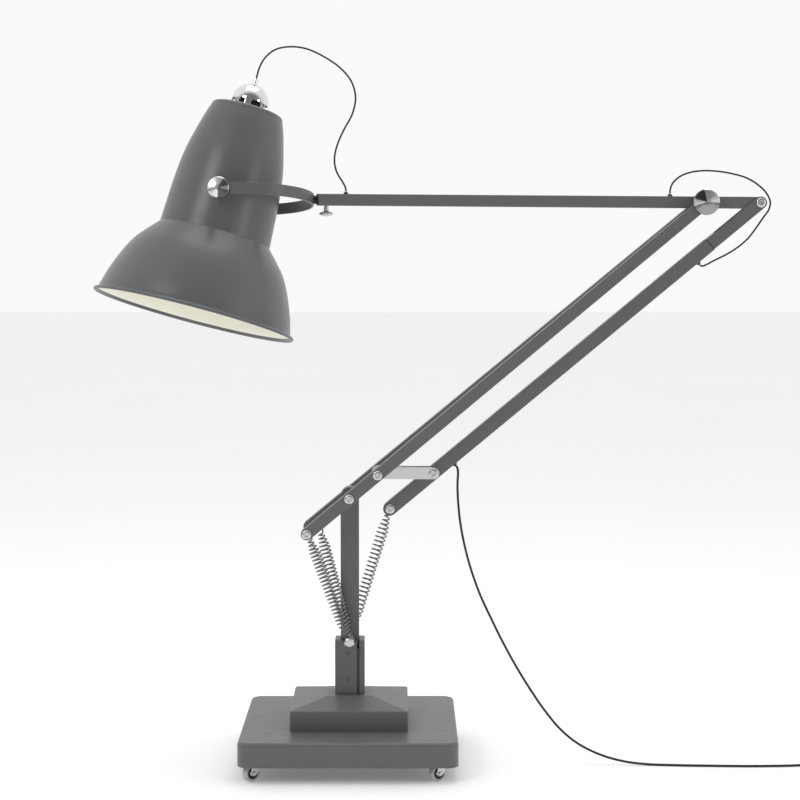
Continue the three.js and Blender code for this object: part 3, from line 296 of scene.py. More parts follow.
class Shader:
    """A node material with one Principled shader."""

    def __init__(self, name, **constants):
        self.material = bpy.data.materials.new(name)
        self.material.use_nodes = True
        self.tree = self.material.node_tree
        self.surface = next(n for n in self.tree.nodes if n.type == "BSDF_PRINCIPLED")
        for socket, value in constants.items():
            self.surface.inputs[socket.replace("_", " ")].default_value = value
        self.place = self.node("ShaderNodeTexCoord", output="Object")

    def node(self, kind, settings=None, values=None, output=0):
        made = self.tree.nodes.new(kind)
        for name, value in (settings or {}).items():
            if name == "stops":
                self.set_stops(made.color_ramp, value)
            else:
                setattr(made, name, value)
        pairs = values.items() if isinstance(values, dict) else enumerate(values or [])
        for socket, value in pairs:
            if isinstance(value, Field):
                self.tree.links.new(value.socket, made.inputs[socket])
            else:
                made.inputs[socket].default_value = value
        return Field(self, made.outputs[output])

    @staticmethod
    def set_stops(ramp, stops):
        while len(ramp.elements) > 1:
            ramp.elements.remove(ramp.elements[-1])
        ramp.elements[0].position, ramp.elements[0].color = stops[0]
        for position, colour in stops[1:]:
            ramp.elements.new(position).color = colour

    def noise(self, scale, detail=2.0, roughness=0.5, vector=None):
        values = {"Vector": vector or self.place, "Scale": scale, "Detail": detail, "Roughness": roughness}
        return self.node("ShaderNodeTexNoise", {}, values)

    def combine(self, x, y, z):
        return self.node("ShaderNodeCombineXYZ", {}, [x, y, z])

    def mix(self, factor, first, second, blend="MIX"):
        settings = {"data_type": "RGBA", "blend_type": blend}
        return self.node("ShaderNodeMix", settings, {0: factor, 6: first, 7: second}, output=2)

    def feed(self, socket, field):
        self.tree.links.new(field.socket, self.surface.inputs[socket])

    def bump(self, height, distance, strength=1.0):
        values = {"Height": height, "Distance": distance, "Strength": strength}
        self.feed("Normal", self.node("ShaderNodeBump", {}, values))


class Backdrop(Shader):
    """The studio round the lamp, by direction."""

    def __init__(self, name):
        self.world = bpy.data.worlds.new(name)
        self.world.use_nodes = True
        self.tree = self.world.node_tree
        self.surface = next(n for n in self.tree.nodes if n.type == "BACKGROUND")
        self.place = self.node("ShaderNodeTexCoord", output="Generated")


def rgba(colour, scale=1.0):
    return (colour[0] * scale, colour[1] * scale, colour[2] * scale, 1.0)


# ------------------------------------------------------------------ finishes

finishes = {}


def paint_finish(name, colour, roughness):
    """Sprayed semi-gloss paint: an orange-peel skin, faint cloudiness, and dust and rubs in the gloss."""
    shader = Shader(name, Specular_IOR_Level=0.5)
    cloud = shader.noise(7.0, 3.0)
    grain = shader.noise(420.0, 2.0)
    rub = shader.noise(34.0, 4.0, 0.62).between(0.5, 0.72)
    speck = shader.noise(900.0, 0.0).between(0.74, 0.8)
    tone = shader.mix(cloud, rgba(colour, 0.94), rgba(colour, 1.07))
    tone = shader.mix(speck * 0.35, tone, rgba(colour, 1.7))
    shader.feed("Base Color", tone)
    shader.feed("Roughness", roughness + 0.05 * cloud + 0.07 * rub + 0.1 * speck)
    shader.bump(grain * 0.7 + cloud * 0.3, 0.00012, 0.35)
    return shader.material


def enamel_finish():
    """The shade's cream lining: sprayed enamel with a soft sheen, and painted shade that makes it a little
    darker and warmer towards the neck.
    """
    shader = Shader("shade_lining", Specular_IOR_Level=0.5)
    cream = colours().enamel
    # painted shade: the lining is mixed towards a darker, warmer cream deeper inside the shade, towards the
    # neck
    depth = shader.place.minus(SHADE.origin).dot(SHADE_AXIS).between(-0.24, 0.12)
    cloud = shader.noise(11.0, 3.0)
    tone = shader.mix(cloud, rgba(cream, 0.97), rgba(cream, 1.02))
    shader.feed("Base Color", shader.mix(depth * 0.35, tone, (0.8, 0.74, 0.56, 1.0)))
    shader.feed("Roughness", 0.36 + 0.08 * cloud)
    shader.bump(shader.noise(380.0, 2.0), 0.0001, 0.3)
    return shader.material


def brushed_finish(name, colour, along, across, roughness):
    """Metal brushed in one direction: long fine streaks in the tone, the gloss and the surface."""
    shader = Shader(name, Metallic=1.0)
    run = shader.place.dot(along) * 18.0
    side = shader.place.dot(across) * 2600.0
    lift = shader.place.dot(Vector(along).cross(across)) * 2600.0
    streak = shader.noise(1.0, 3.0, 0.6, shader.combine(run, side, lift))
    smear = shader.noise(28.0, 2.0)
    shader.feed("Base Color", shader.mix(streak, rgba(colour, 0.82), rgba(colour, 1.12)))
    shader.feed("Roughness", roughness + 0.16 * streak + 0.06 * smear)
    shader.bump(streak, 0.00004, 0.6)
    return shader.material


def spun_finish(name, node, direction, painted_light=()):
    """Steel turned on a lathe: fine rings about the node's axis, and any painted highlights and painted
    shade, as wedges of lighter and darker colour given as (turn in degrees, tone) pairs, counted from the
    lamp's right when seen from the front."""
    shader = Shader(name, Metallic=1.0)
    offset = shader.place.minus(middle(node))
    height = offset.dot(direction)
    distance = offset.length()
    radius = (distance * distance - height * height).maths("ABSOLUTE") ** 0.5
    ring = shader.noise(1.0, 3.0, 0.65, shader.combine(radius * 2400.0, height * 900.0, 0.0))
    smear = shader.noise(60.0, 2.0)
    tint = shader.mix(ring, rgba(STEEL, 0.8), rgba(STEEL, 1.1))
    # painted highlights and painted shade: the steel's colour made lighter and darker in wedges fixed to the
    # lamp's frame
    if painted_light:
        turn = offset.dot(UPWARD).maths("ARCTAN2", offset.dot(BASE.direction(1, 0, 0))) * (0.5 / math.pi)
        stops = [(degrees / 360, (tone, tone, tone, 1)) for degrees, tone in painted_light]
        painted_shine = shader.node("ShaderNodeValToRGB", {"stops": stops}, [turn.maths("FRACT")])
        tint = shader.mix(1.0, tint, painted_shine, "MULTIPLY")
    shader.feed("Base Color", tint)
    shader.feed("Roughness", 0.2 + 0.14 * ring + 0.05 * smear)
    shader.bump(ring, 0.00005, 0.7)
    return shader.material


def plated_finish(name, colour, roughness):
    """Bright plating with hairline scuffs and a slight haze."""
    shader = Shader(name, Metallic=1.0)
    haze = shader.noise(45.0, 3.0)
    scuff = shader.noise(1.0, 2.0, 0.5, shader.place.times((260.0, 260.0, 2400.0))).between(0.6, 0.75)
    shader.feed("Base Color", shader.mix(haze, rgba(colour, 0.93), rgba(colour, 1.03)))
    shader.feed("Roughness", roughness + 0.05 * haze + 0.1 * scuff)
    shader.bump(haze * 0.5 + scuff * 0.5, 0.00003, 0.4)
    return shader.material


def moulded_finish(name, colour, roughness, grain=700.0):
    """Moulded rubber or plastic: a fine spark-eroded grain and a slight bloom."""
    shader = Shader(name, Specular_IOR_Level=0.45)
    bloom = shader.noise(55.0, 3.0)
    skin = shader.noise(grain, 2.0)
    shader.feed("Base Color", shader.mix(bloom, rgba(colour, 0.85), rgba(colour, 1.4)))
    shader.feed("Roughness", roughness + 0.12 * bloom)
    shader.bump(skin, 0.00008, 0.5)
    return shader.material


def cast_finish():
    """Rough iron casting with a thin coat of black paint."""
    shader = Shader("ballast_iron", Metallic=0.4)
    sand = shader.noise(500.0, 4.0, 0.7)
    rust = shader.noise(22.0, 4.0, 0.6).between(0.56, 0.7)
    shader.feed("Base Color", shader.mix(rust * 0.5, (0.035, 0.035, 0.037, 1.0), (0.12, 0.055, 0.03, 1.0)))
    shader.feed("Roughness", 0.62 + 0.25 * sand)
    shader.bump(sand, 0.0005, 0.8)
    return shader.material


def porcelain_finish():
    shader = Shader("glazed_porcelain", Coat_Weight=0.6, Coat_Roughness=0.05)
    cloud = shader.noise(30.0, 2.0)
    fleck = shader.noise(700.0, 0.0).between(0.76, 0.8)
    tone = shader.mix(cloud, (0.8, 0.79, 0.74, 1.0), (0.86, 0.85, 0.81, 1.0))
    shader.feed("Base Color", shader.mix(fleck * 0.5, tone, (0.35, 0.32, 0.27, 1.0)))
    shader.feed("Roughness", 0.22 + 0.1 * cloud)
    shader.bump(cloud, 0.0002, 0.3)
    return shader.material


def pearl_finish():
    """A pearl bulb: white-coated glass, a little clearer where the coat thins."""
    shader = Shader("pearl_glass", Coat_Weight=0.8, Coat_Roughness=0.04)
    coat = shader.noise(40.0, 3.0)
    shader.feed("Base Color", shader.mix(coat, (0.86, 0.85, 0.8, 1.0), (0.93, 0.92, 0.88, 1.0)))
    shader.feed("Roughness", 0.3 + 0.12 * coat)
    shader.bump(shader.noise(900.0, 1.0), 0.00004, 0.3)
    return shader.material


STEEL = (0.62, 0.62, 0.6)
BRIGHT = (0.78, 0.79, 0.8)


# painted highlights and painted shade on the knobs' spun caps: degrees, and a factor on the steel's colour
ELBOW_PAINTED_LIGHT = (
    (0, 1.3), (98, 1.3), (106, 0.16), (162, 0.16), (169, 1.5), (193, 1.5), (201, 0.25), (213, 0.4),
    (225, 0.55),
    (340, 0.6), (352, 0.3), (360, 1.3),
)
SHADE_KNOB_PAINTED_LIGHT = (
    (0, 1.2), (10, 1.2), (18, 0.3), (58, 0.3), (66, 1.2), (188, 1.2), (196, 0.3), (203, 1.5), (262, 1.5),
    (271, 0.22), (342, 0.25), (351, 1.2), (360, 1.2),
)


def make_finishes():
    paint = colours().paint
    along = ARM.direction(1, 0, 0)
    finishes.update(
        base_paint=paint_finish("base_paint", rgba(paint), 0.38),
        arm_paint=paint_finish("arm_paint", rgba(paint, 0.98), 0.36),
        shade_paint=paint_finish("shade_paint", rgba(paint, 0.92), 0.3),
        stirrup_paint=paint_finish("stirrup_paint", rgba(paint, 0.92), 0.34),
        shade_lining=enamel_finish(),
        link_metal=brushed_finish("link_metal", (0.74, 0.745, 0.74), LINK.direction(1, 0, 0), ACROSS, 0.26),
        castor_steel=brushed_finish("castor_steel", (0.6, 0.6, 0.6), UPWARD, ACROSS, 0.24),
        pin_steel=brushed_finish("pin_steel", STEEL, ACROSS, along, 0.2),
        chrome=plated_finish("chrome", BRIGHT, 0.05),
        spring_chrome=plated_finish("spring_chrome", (0.25, 0.255, 0.26), 0.2),
        black_plastic=moulded_finish("black_plastic", rgba(colours().cord, 1.3), 0.42),
        cord_black=moulded_finish("cord_black", rgba(colours().cord), 0.36, 1100.0),
        castor_tyre=moulded_finish("castor_tyre", rgba(colours().tyre), 0.55),
        cast_iron=cast_finish(),
        porcelain=porcelain_finish(),
        bulb_glass=pearl_finish(),
    )


def finish_named(name):
    """One of the lamp's finishes, which are all made when the first is asked for."""
    if not finishes:
        make_finishes()
    return finishes[name]


# ------------------------------------------------------------------ outlines


def fillet(corners, closed=True, steps=5):
    """Points of an outline whose corners are (a, b) or (a, b, radius): a radius rounds its corner."""
    points = []
    count = len(corners)
    for i, corner in enumerate(corners):
        here = Vector(corner[:2])
        radius = corner[2] if len(corner) > 2 else 0
        if not radius or (not closed and i in (0, count - 1)):
            points.append(here)
            continue
        back = (Vector(corners[i - 1][:2]) - here).normalized()
        ahead = (Vector(corners[(i + 1) % count][:2]) - here).normalized()
        half = math.acos(max(-1.0, min(1.0, back.dot(ahead)))) / 2
        centre = here + (back + ahead).normalized() * (radius / math.sin(half))
        start = here + back * (radius / math.tan(half)) - centre
        end = here + ahead * (radius / math.tan(half)) - centre
        sweep = start.angle_signed(end)
        for step in range(steps + 1):
            turned = start.copy()
            turned.rotate(Matrix.Rotation(-sweep * step / steps, 2))
            points.append(centre + turned)
    return [tuple(point) for point in points]


def bar_outline(start, end, height, round_start=True, round_end=True, steps=20):
    """A bar's side view from one pivot to another, with half-round ends."""
    half = height / 2
    points = []
    for place, is_round, first in ((end, round_end, -90), (start, round_start, 90)):
        if not is_round:
            corner = math.copysign(half, first)
            points += [(place, corner), (place, -corner)]
            continue
        for step in range(steps + 1):
            turn = math.radians(first + 180 * step / steps)
            points.append((place + half * math.cos(turn), half * math.sin(turn)))
    return points


def rounded_rectangle(width, depth, radius):
    x, y = width / 2, depth / 2
    return fillet([(x, y, radius), (-x, y, radius), (-x, -y, radius), (x, -y, radius)], steps=10)


def rounded_square(width, radius):
    return rounded_rectangle(width, width, radius)


# ------------------------------------------------------------------ shapes, as bmeshes in local millimetres


def turned(profile, along="Z", sides=None, lining_from=None):
    """A turned shape. Profile points are (radius, height), or (radius, height, form) for a hexagonal or a
    knurled ring. Faces from the profile's point number lining_from on take the second finish."""
    sides = sides or sizes().turned_sides
    shape = bmesh.new()
    rings = []
    for point in profile:
        radius, height = point[:2]
        form = point[2] if len(point) > 2 else None
        count = sides if radius > 1e-6 else 1
        ring = []
        for step in range(count):
            turn = 2 * math.pi * step / sides
            reach = radius * ring_form(form, turn)
            x, y = reach * math.cos(turn), reach * math.sin(turn)
            ring.append(shape.verts.new((x, y, height) if along == "Z" else (x, height, -y)))
        rings.append(ring)
    for number, (low, high) in enumerate(zip(rings, rings[1:])):
        for step in range(sides):
            following = (step + 1) % sides
            corners = [low[step % len(low)], low[following % len(low)],
                       high[following % len(high)], high[step % len(high)]]
            unique = list(dict.fromkeys(corners))
            if len(unique) > 2:
                face = shape.faces.new(unique)
                face.material_index = 1 if lining_from is not None and number >= lining_from else 0
    bmesh.ops.remove_doubles(shape, verts=shape.verts, dist=1e-4)
    bmesh.ops.recalc_face_normals(shape, faces=shape.faces)
    return shape


def ring_form(form, turn):
    """A ring's reach at an angle, as a share of its radius."""
    if form == "hexagon":
        sector = math.pi / 3
        return math.cos(sector / 2) / math.cos(turn % sector - sector / 2)
    if form == "knurl":
        return 1 - 0.035 * (0.5 + 0.5 * math.cos(24 * turn))
    return 1.0


def skinned(shape, rings, capped=True):
    """Closes a shape with faces between neighbouring rings of corners and over the first and last ring."""
    for low, high in zip(rings, rings[1:]):
        for i in range(len(low)):
            j = (i + 1) % len(low)
            shape.faces.new((low[i], low[j], high[j], high[i]))
    if capped:
        shape.faces.new(rings[0])
        shape.faces.new(rings[-1])
    bmesh.ops.recalc_face_normals(shape, faces=shape.faces)
    return shape


def prism(outline, low, high):
    """An X and Z outline given a thickness along Y."""
    shape = bmesh.new()
    ends = [[shape.verts.new((a, level, b)) for a, b in outline] for level in (low, high)]
    return skinned(shape, ends)


def stacked(levels):
    """A closed shape through outlines of equal length, each an (outline, height) pair from the bottom up."""
    shape = bmesh.new()
    rings = [[shape.verts.new((a, b, height)) for a, b in outline] for outline, height in levels]
    return skinned(shape, rings)


def softened(shape, radius, angle=40, segments=3):
    """Rounds every edge sharper than the angle."""
    sharp = [e for e in shape.edges if len(e.link_faces) == 2 and e.calc_face_angle(0) > math.radians(angle)]
    bmesh.ops.bevel(shape, geom=sharp, offset=radius, segments=segments, profile=0.5, affect="EDGES",
                    clamp_overlap=True)
    return shape


def merged(*shapes):
    """One shape that holds the others."""
    whole = shapes[0]
    for other in shapes[1:]:
        spare = bpy.data.meshes.new("spare")
        other.to_mesh(spare)
        whole.from_mesh(spare)
        other.free()
        bpy.data.meshes.remove(spare)
    return whole


def shifted(shape, x, y, z):
    bmesh.ops.translate(shape, verts=shape.verts, vec=(x, y, z))
    return shape


def add(name, shape, site, body, finish, nodes=(), smooth_angle=38):
    """A finished piece in the lamp's frame, riding on a body in place of CAD nodes."""
    for edge in shape.edges:
        edge.smooth = len(edge.link_faces) == 2 and edge.calc_face_angle(0) < math.radians(smooth_angle)
    for face in shape.faces:
        face.smooth = True
    mesh = bpy.data.meshes.new(name)
    shape.transform(site.matrix)
    shape.to_mesh(mesh)
    shape.free()
    chosen = [finish] if isinstance(finish, (str, bpy.types.Material)) else finish
    for entry in chosen:
        mesh.materials.append(finish_named(entry) if isinstance(entry, str) else entry)
    piece = bpy.data.objects.new(name, mesh)
    bpy.context.scene.collection.objects.link(piece)
    weigh = piece.modifiers.new("even_faces", "WEIGHTED_NORMAL")
    weigh.keep_sharp = True
    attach(piece, body)
    if nodes:
        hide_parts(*nodes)
    return piece


# ------------------------------------------------------------------ wires and cords


ROUTE_STEPS = 8  # points of a smooth path from one point of its route to the next


def smooth_path(route, steps_each=ROUTE_STEPS):
    """Points on a centripetal Catmull-Rom curve through a route."""
    points = [Vector(point) for point in route]
    ends = [points[0] * 2 - points[1], *points, points[-1] * 2 - points[-2]]
    path = []
    for a, b, c, d in zip(ends, ends[1:], ends[2:], ends[3:]):
        knots = [0.0]
        for first, second in ((a, b), (b, c), (c, d)):
            knots.append(knots[-1] + max((second - first).length, 1e-9) ** 0.5)
        for step in range(steps_each):
            t = knots[1] + (knots[2] - knots[1]) * step / steps_each
            path.append(catmull_point((a, b, c, d), knots, t))
    return [*path, points[-1]]


def catmull_point(corners, knots, t):
    def mixed(first, second, start, end):
        share = (t - knots[start]) / (knots[end] - knots[start])
        return first * (1 - share) + second * share

    sides = [mixed(corners[i], corners[i + 1], i, i + 1) for i in range(3)]
    return mixed(mixed(sides[0], sides[1], 0, 2), mixed(sides[1], sides[2], 1, 3), 1, 2)


def path_length(path):
    return sum((b - a).length for a, b in zip(path, path[1:]))


def tube(path, radius, sides=10):
    """A round wire with flat ends along a path in the lamp's frame, in metres. The radius is in mm."""
    shape = bmesh.new()
    reach = radius * MM
    forward = (path[1] - path[0]).normalized()
    side = forward.orthogonal().normalized()
    rings = []
    for i, point in enumerate(path):
        ahead = path[min(i + 1, len(path) - 1)] - path[max(i - 1, 0)]
        ahead.normalize()
        side = (side - ahead * side.dot(ahead)).normalized()
        up = ahead.cross(side)
        rings.append([
            shape.verts.new(point + (side * math.cos(turn) + up * math.sin(turn)) * reach)
            for turn in (2 * math.pi * step / sides for step in range(sides))
        ])
    return skinned(shape, rings)


def bare(name, shape, finish):
    """A mesh piece that isn't attached yet, in the lamp's frame in metres."""
    for face in shape.faces:
        face.smooth = len(face.verts) <= 4
    mesh = bpy.data.meshes.new(name)
    shape.to_mesh(mesh)
    shape.free()
    mesh.materials.append(finish_named(finish))
    piece = bpy.data.objects.new(name, mesh)
    bpy.context.scene.collection.objects.link(piece)
    return piece


def ease_back(share):
    """Where a smooth step reaches this share of its rise."""
    return 0.5 - math.sin(math.asin(1 - 2 * share) / 3)


def pull(piece, top, bottom, knots):
    """Works out from the knots where a blend of a stretch of wire between two bodies would begin and end, and
    bakes the wire's place into its mesh; no blend is set up. The knots say how far along the wire, from top
    to bottom, it begins and ends, and what share of the first body's motion it keeps there."""
    (place_0, share_0), (place_1, share_1) = knots
    rise_0, rise_1 = ease_back(1 - share_0), ease_back(1 - share_1)
    reach = (place_1 - place_0) / (rise_1 - rise_0)
    begin = place_0 - rise_0 * reach
    top.lerp(bottom, begin + reach)
    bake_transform(piece)


# ------------------------------------------------------------------ cords: routes in millimetres

LOOP_CORD_RADIUS = 1.9
MAINS_CORD_RADIUS = 2.5
HEAD_CORD_LENGTH = 0.52
ELBOW_CORD_LENGTH = 0.47
MAINS_CORD_LENGTH = 2.63
CORD_TOLERANCE = 0.03  # the share by which a cord's path may be off its length

HEAD_CORD_ROUTE = [
    (-195.4, 35.7, 1438), (-193.4, 36.7, 1446), (-188.5, 38.6, 1462), (-176.5, 40, 1482), (-156, 40, 1498),
    (-126, 38, 1504), (-92, 35, 1500), (-54, 30, 1483), (-18, 26, 1458), (5, 22, 1429), (13, 18, 1396),
    (6, 15, 1362), (-11, 11, 1330), (-25, 7, 1298), (-31, 4, 1267), (-26, 1, 1241), (-14, 0, 1221),
    (-8, 0, 1209), (-7, 0, 1201.4),
]
HEAD_CORD_SPLIT = 6  # the point where the stirrup's stretch ends and the arm's begins
ELBOW_CORD_ROUTE = [
    (670, 0, 1196.6), (670.5, 0, 1204), (675, 0, 1217), (689, 0, 1231), (710, 0, 1240), (737, 0, 1244),
    (768, 0, 1243), (799, 0, 1238), (830, 0, 1229), (855, 0, 1214), (872, 0, 1197), (880, 0, 1179),
    (877, 0, 1163), (866, 0, 1147), (851, 0, 1125), (836, 0, 1105), (815, 0, 1086), (790, 0, 1070),
    (765, 0, 1057.5), (750, 0, 1049.5), (741, 0, 1045.5), (737, 0, 1045.6), (734.2, 0, 1047.8),
]
MAINS_CORD_ROUTE = [
    (224.5, 0, 624.4), (227, 0, 620.5), (228.5, 0, 611), (227.5, -1, 590), (228, -3, 560), (234, -7, 500),
    (249, -13, 430), (272, -19, 361), (300, -25, 300), (325, -30, 250), (354, -35, 198), (384, -40, 150),
    (412, -45, 110), (446, -50, 70), (482, -55, 42), (526, -60, 21), (575, -66, 8), (625, -72, 3.2),
    (680, -78, 2.8), (755, -83, 2.8), (840, -86, 2.8), (910, -83, 2.8), (955, -77.5, 2.8), (984.5, -75, 2.8),
]
MAINS_CORD_SPLITS = [3, 6, 14]  # where it goes from the bar to the link, to the arm, and to the floor
COIL_CENTRE = (1005, -107.5)
COIL_ROWS = [(32.5, 4), (27.5, 4), (22.5, 4), (22.5, 9), (27.5, 9), (32.5, 9), (27.5, 14), (32.5, 14)]
COIL_SHIFT = 0.14  # the share of a turn in which the cord moves over to its next row
COIL_STEPS = 36
PLUG_PLACE = (1027, -75, 7.6)
PRONG_SPREAD = 9.5


def lamp_route(route):
    return [BASE.point(*point) for point in route]


def coil_route():
    """The coil's turns, clockwise from where the cord arrives, each on its own row."""
    x, y = COIL_CENTRE
    route = []
    for turn, (radius, height) in enumerate(COIL_ROWS):
        after_radius, after_height = COIL_ROWS[min(turn + 1, len(COIL_ROWS) - 1)]
        for step in range(COIL_STEPS):
            share = step / COIL_STEPS
            ease = max(0.0, (share - 1 + COIL_SHIFT) / COIL_SHIFT)
            ease = ease * ease * (3 - 2 * ease)
            reach = radius + (after_radius - radius) * ease
            level = height + (after_height - height) * ease
            angle = math.pi / 2 - 2 * math.pi * share
            route.append((x + reach * math.cos(angle), y + reach * math.sin(angle), level))
    route.append((x, PLUG_PLACE[1], COIL_ROWS[-1][1]))
    return route


def cord_stretch(name, path, radius, far_end, nodes=(), with_pieces=(), lay="loose"):
    """A stretch of black flex, and what there is to say of it as a cord."""
    piece = bare(name, tube(path, radius, 12), "cord_black")
    if nodes:
        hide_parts(*nodes)
    return piece, dict(
        exit=path[0], length=path_length(path), diameter=2 * radius * MM, far_end=far_end, stiffness="medium",
        lay=lay, path=path, with_pieces=with_pieces,
    )


def check_length(name, stretches, length):
    found = sum(path_length(path) for path in stretches)
    if abs(found - length) > CORD_TOLERANCE * length:
        raise ValueError(f"{name} is {found:.3f} m long and should be {length} m")


class LAMP_OT_cords(bpy.types.Operator):
    """The head cord, the elbow loop and the mains cord with its coil, tie and plug"""

    bl_idname = "lamp.cords"
    bl_label = "Cords"

    def execute(self, context):
        self.head_cord()
        self.elbow_cord()
        self.mains_cord()
        return {"FINISHED"}

    def head_cord(self):
        split = HEAD_CORD_SPLIT * ROUTE_STEPS
        path = smooth_path(lamp_route(HEAD_CORD_ROUTE))
        near, far = path[: split + 1], path[split:]
        check_length("head cord", (near, far), HEAD_CORD_LENGTH)
        piece, facts = cord_stretch("head_cord_top", near, LOOP_CORD_RADIUS, "object", ["head_cord"])
        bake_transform(piece)
        piece, facts = cord_stretch("head_cord_drop", far, LOOP_CORD_RADIUS, "object")
        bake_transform(piece)

    def elbow_cord(self):
        path = smooth_path(lamp_route(ELBOW_CORD_ROUTE))
        check_length("elbow cord", (path,), ELBOW_CORD_LENGTH)
        piece, facts = cord_stretch("elbow_loop", path, LOOP_CORD_RADIUS, "object", ["elbow_cord"])
        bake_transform(piece)

    def mains_cord(self):
        route = smooth_path(lamp_route(MAINS_CORD_ROUTE))
        cuts = [0, *(ROUTE_STEPS * split for split in MAINS_CORD_SPLITS), len(route) - 1]
        drops = [route[a : b + 1] for a, b in zip(cuts, cuts[1:-1])]
        lying = route[cuts[-2] :] + [BASE.point(*point) for point in coil_route()]
        lying += [BASE.point(COIL_CENTRE[0] + 11, PLUG_PLACE[1], 11.2), BASE.point(*PLUG_PLACE)]
        check_length("mains cord", (*drops, lying), MAINS_CORD_LENGTH)
        bodies = ["second_bar", "link", "main_arm", "base"]
        for number, path in enumerate(drops):
            nodes = ["mains_cord"] if number == 0 else []
            piece, facts = cord_stretch(f"mains_cord_{number + 1}", path, MAINS_CORD_RADIUS, "object", nodes)
            bodies[number + 1]
            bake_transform(piece)
        plug = self.plug()
        tie = self.tie()
        piece, facts = cord_stretch("mains_cord_coil", lying, MAINS_CORD_RADIUS, "plug",
                                    ["mains_coil"], [plug, tie], "coiled")
        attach(piece, "base")

    def plug(self):
        site = BASE.moved(*PLUG_PLACE)
        body = stacked([
            (rounded_rectangle(34, 24, 8), -7.4), (rounded_rectangle(36, 26, 9), -6),
            (rounded_rectangle(36, 26, 9), -0.6),
            (rounded_rectangle(35, 25, 8.5), 0), (rounded_rectangle(36, 26, 9), 0.6),
            (rounded_rectangle(36, 26, 9), 5.5),
            (rounded_rectangle(32, 22, 7), 7.4),
        ])
        shifted(body, 31, 0, 0)
        boot = turned([(0, 0)] + [
            (3.4 + 0.16 * x + (0.5 if x % 3 else 0), x) for x in range(0, 15)
        ] + [(0, 15)], sides=32)
        boot.transform(Matrix.Rotation(math.pi / 2, 4, "Y"))
        prongs = []
        for across in (-PRONG_SPREAD, PRONG_SPREAD):
            prong = turned([(0, 0), (2.4, 0), (2.4, 18.6), (1.6, 20), (0, 20)], sides=24)
            prong.transform(Matrix.Translation((48, across, 0)) @ Matrix.Rotation(math.pi / 2, 4, "Y"))
            prongs.append(prong)
        casing = add("plug_casing", merged(body, boot), site, "base", "black_plastic", ["mains_plug"])
        pins = add("plug_pins", merged(*prongs), site, "base", "chrome")
        pins.parent = casing
        return casing

    def tie(self):
        ring = fillet([(19, 0, 1.5), (36, 0, 1.5), (36, 17.8, 1.5), (19, 17.8, 1.5)])
        inner = fillet([(19.9, 0.9, 1), (35.1, 0.9, 1), (35.1, 16.9, 1), (19.9, 16.9, 1)])
        shape = bmesh.new()
        rows = []
        for outline, y in ((ring, -4), (ring, 4), (inner, 4), (inner, -4)):
            rows.append([shape.verts.new((a, y, b)) for a, b in outline])
        skinned(shape, [*rows, rows[0]], capped=False)
        shape.transform(Matrix.Rotation(-math.pi / 2, 4, "Z"))
        return add("coil_tie", shape, BASE.moved(COIL_CENTRE[0], COIL_CENTRE[1], 0), "base", "black_plastic",
                   ["cord_tie"])


# ------------------------------------------------------------------ base and castors

BASE_CORNER = 25
BASE_EDGE = 7
BASE_WALL = 5
PLINTH_EDGE = 3
PAD_WIDTH = 100
PAD_RISE = 16.5


def edge_levels(width, top, corner, edge, steps=6):
    """Outlines of a square block's rounded top edge, from its side up."""
    levels = []
    for step in range(steps + 1):
        turn = math.pi / 2 * step / steps
        inset = edge * (1 - math.cos(turn))
        outline = rounded_square(width - 2 * inset, max(corner - inset, 1))
        levels.append((outline, top - edge + edge * math.sin(turn)))
    return levels


class LAMP_OT_base(bpy.types.Operator):
    """The base's cover and its stepped and sloping plinth"""

    bl_idname = "lamp.base"
    bl_label = "Base"

    def execute(self, context):
        inner = BASE_WIDTH - 2 * BASE_WALL
        lip = rounded_square(inner, BASE_CORNER - BASE_WALL)
        outer = rounded_square(BASE_WIDTH, BASE_CORNER)
        levels = [(lip, BASE_TOP - BASE_WALL), (lip, BASE_BOTTOM), (outer, BASE_BOTTOM),
                  *edge_levels(BASE_WIDTH, BASE_TOP, BASE_CORNER, BASE_EDGE)]
        add("base_shell", stacked(levels), BASE, "base", "base_paint", ["base_cover"], smooth_angle=50)
        tier_top = PAD_TOP - PAD_RISE
        side = PLINTH_WIDTH - 2 * BASE_WALL
        slope_foot = rounded_square(PLINTH_WIDTH - 2 * PLINTH_EDGE - 3, 4)
        levels = [
            (rounded_square(side, 2), tier_top - BASE_WALL), (rounded_square(side, 2), BASE_TOP + GAP),
            (rounded_square(PLINTH_WIDTH, 6), BASE_TOP + GAP),
            *edge_levels(PLINTH_WIDTH, tier_top, 6, PLINTH_EDGE, 4), (slope_foot, tier_top + 0.6),
            (rounded_square(PAD_WIDTH + 4, 4), PAD_TOP - 1.2),
            (rounded_square(PAD_WIDTH, 3), PAD_TOP - 0.3),
            (rounded_square(PAD_WIDTH - 3, 3), PAD_TOP),
        ]
        add("base_step", stacked(levels), BASE, "base", "base_paint", ["base_plinth"], smooth_angle=28)
        return {"FINISHED"}


WHEEL_RADIUS = 18
CASTOR_TRAIL = 10
CASTORS = (1, 2, 3, 4)


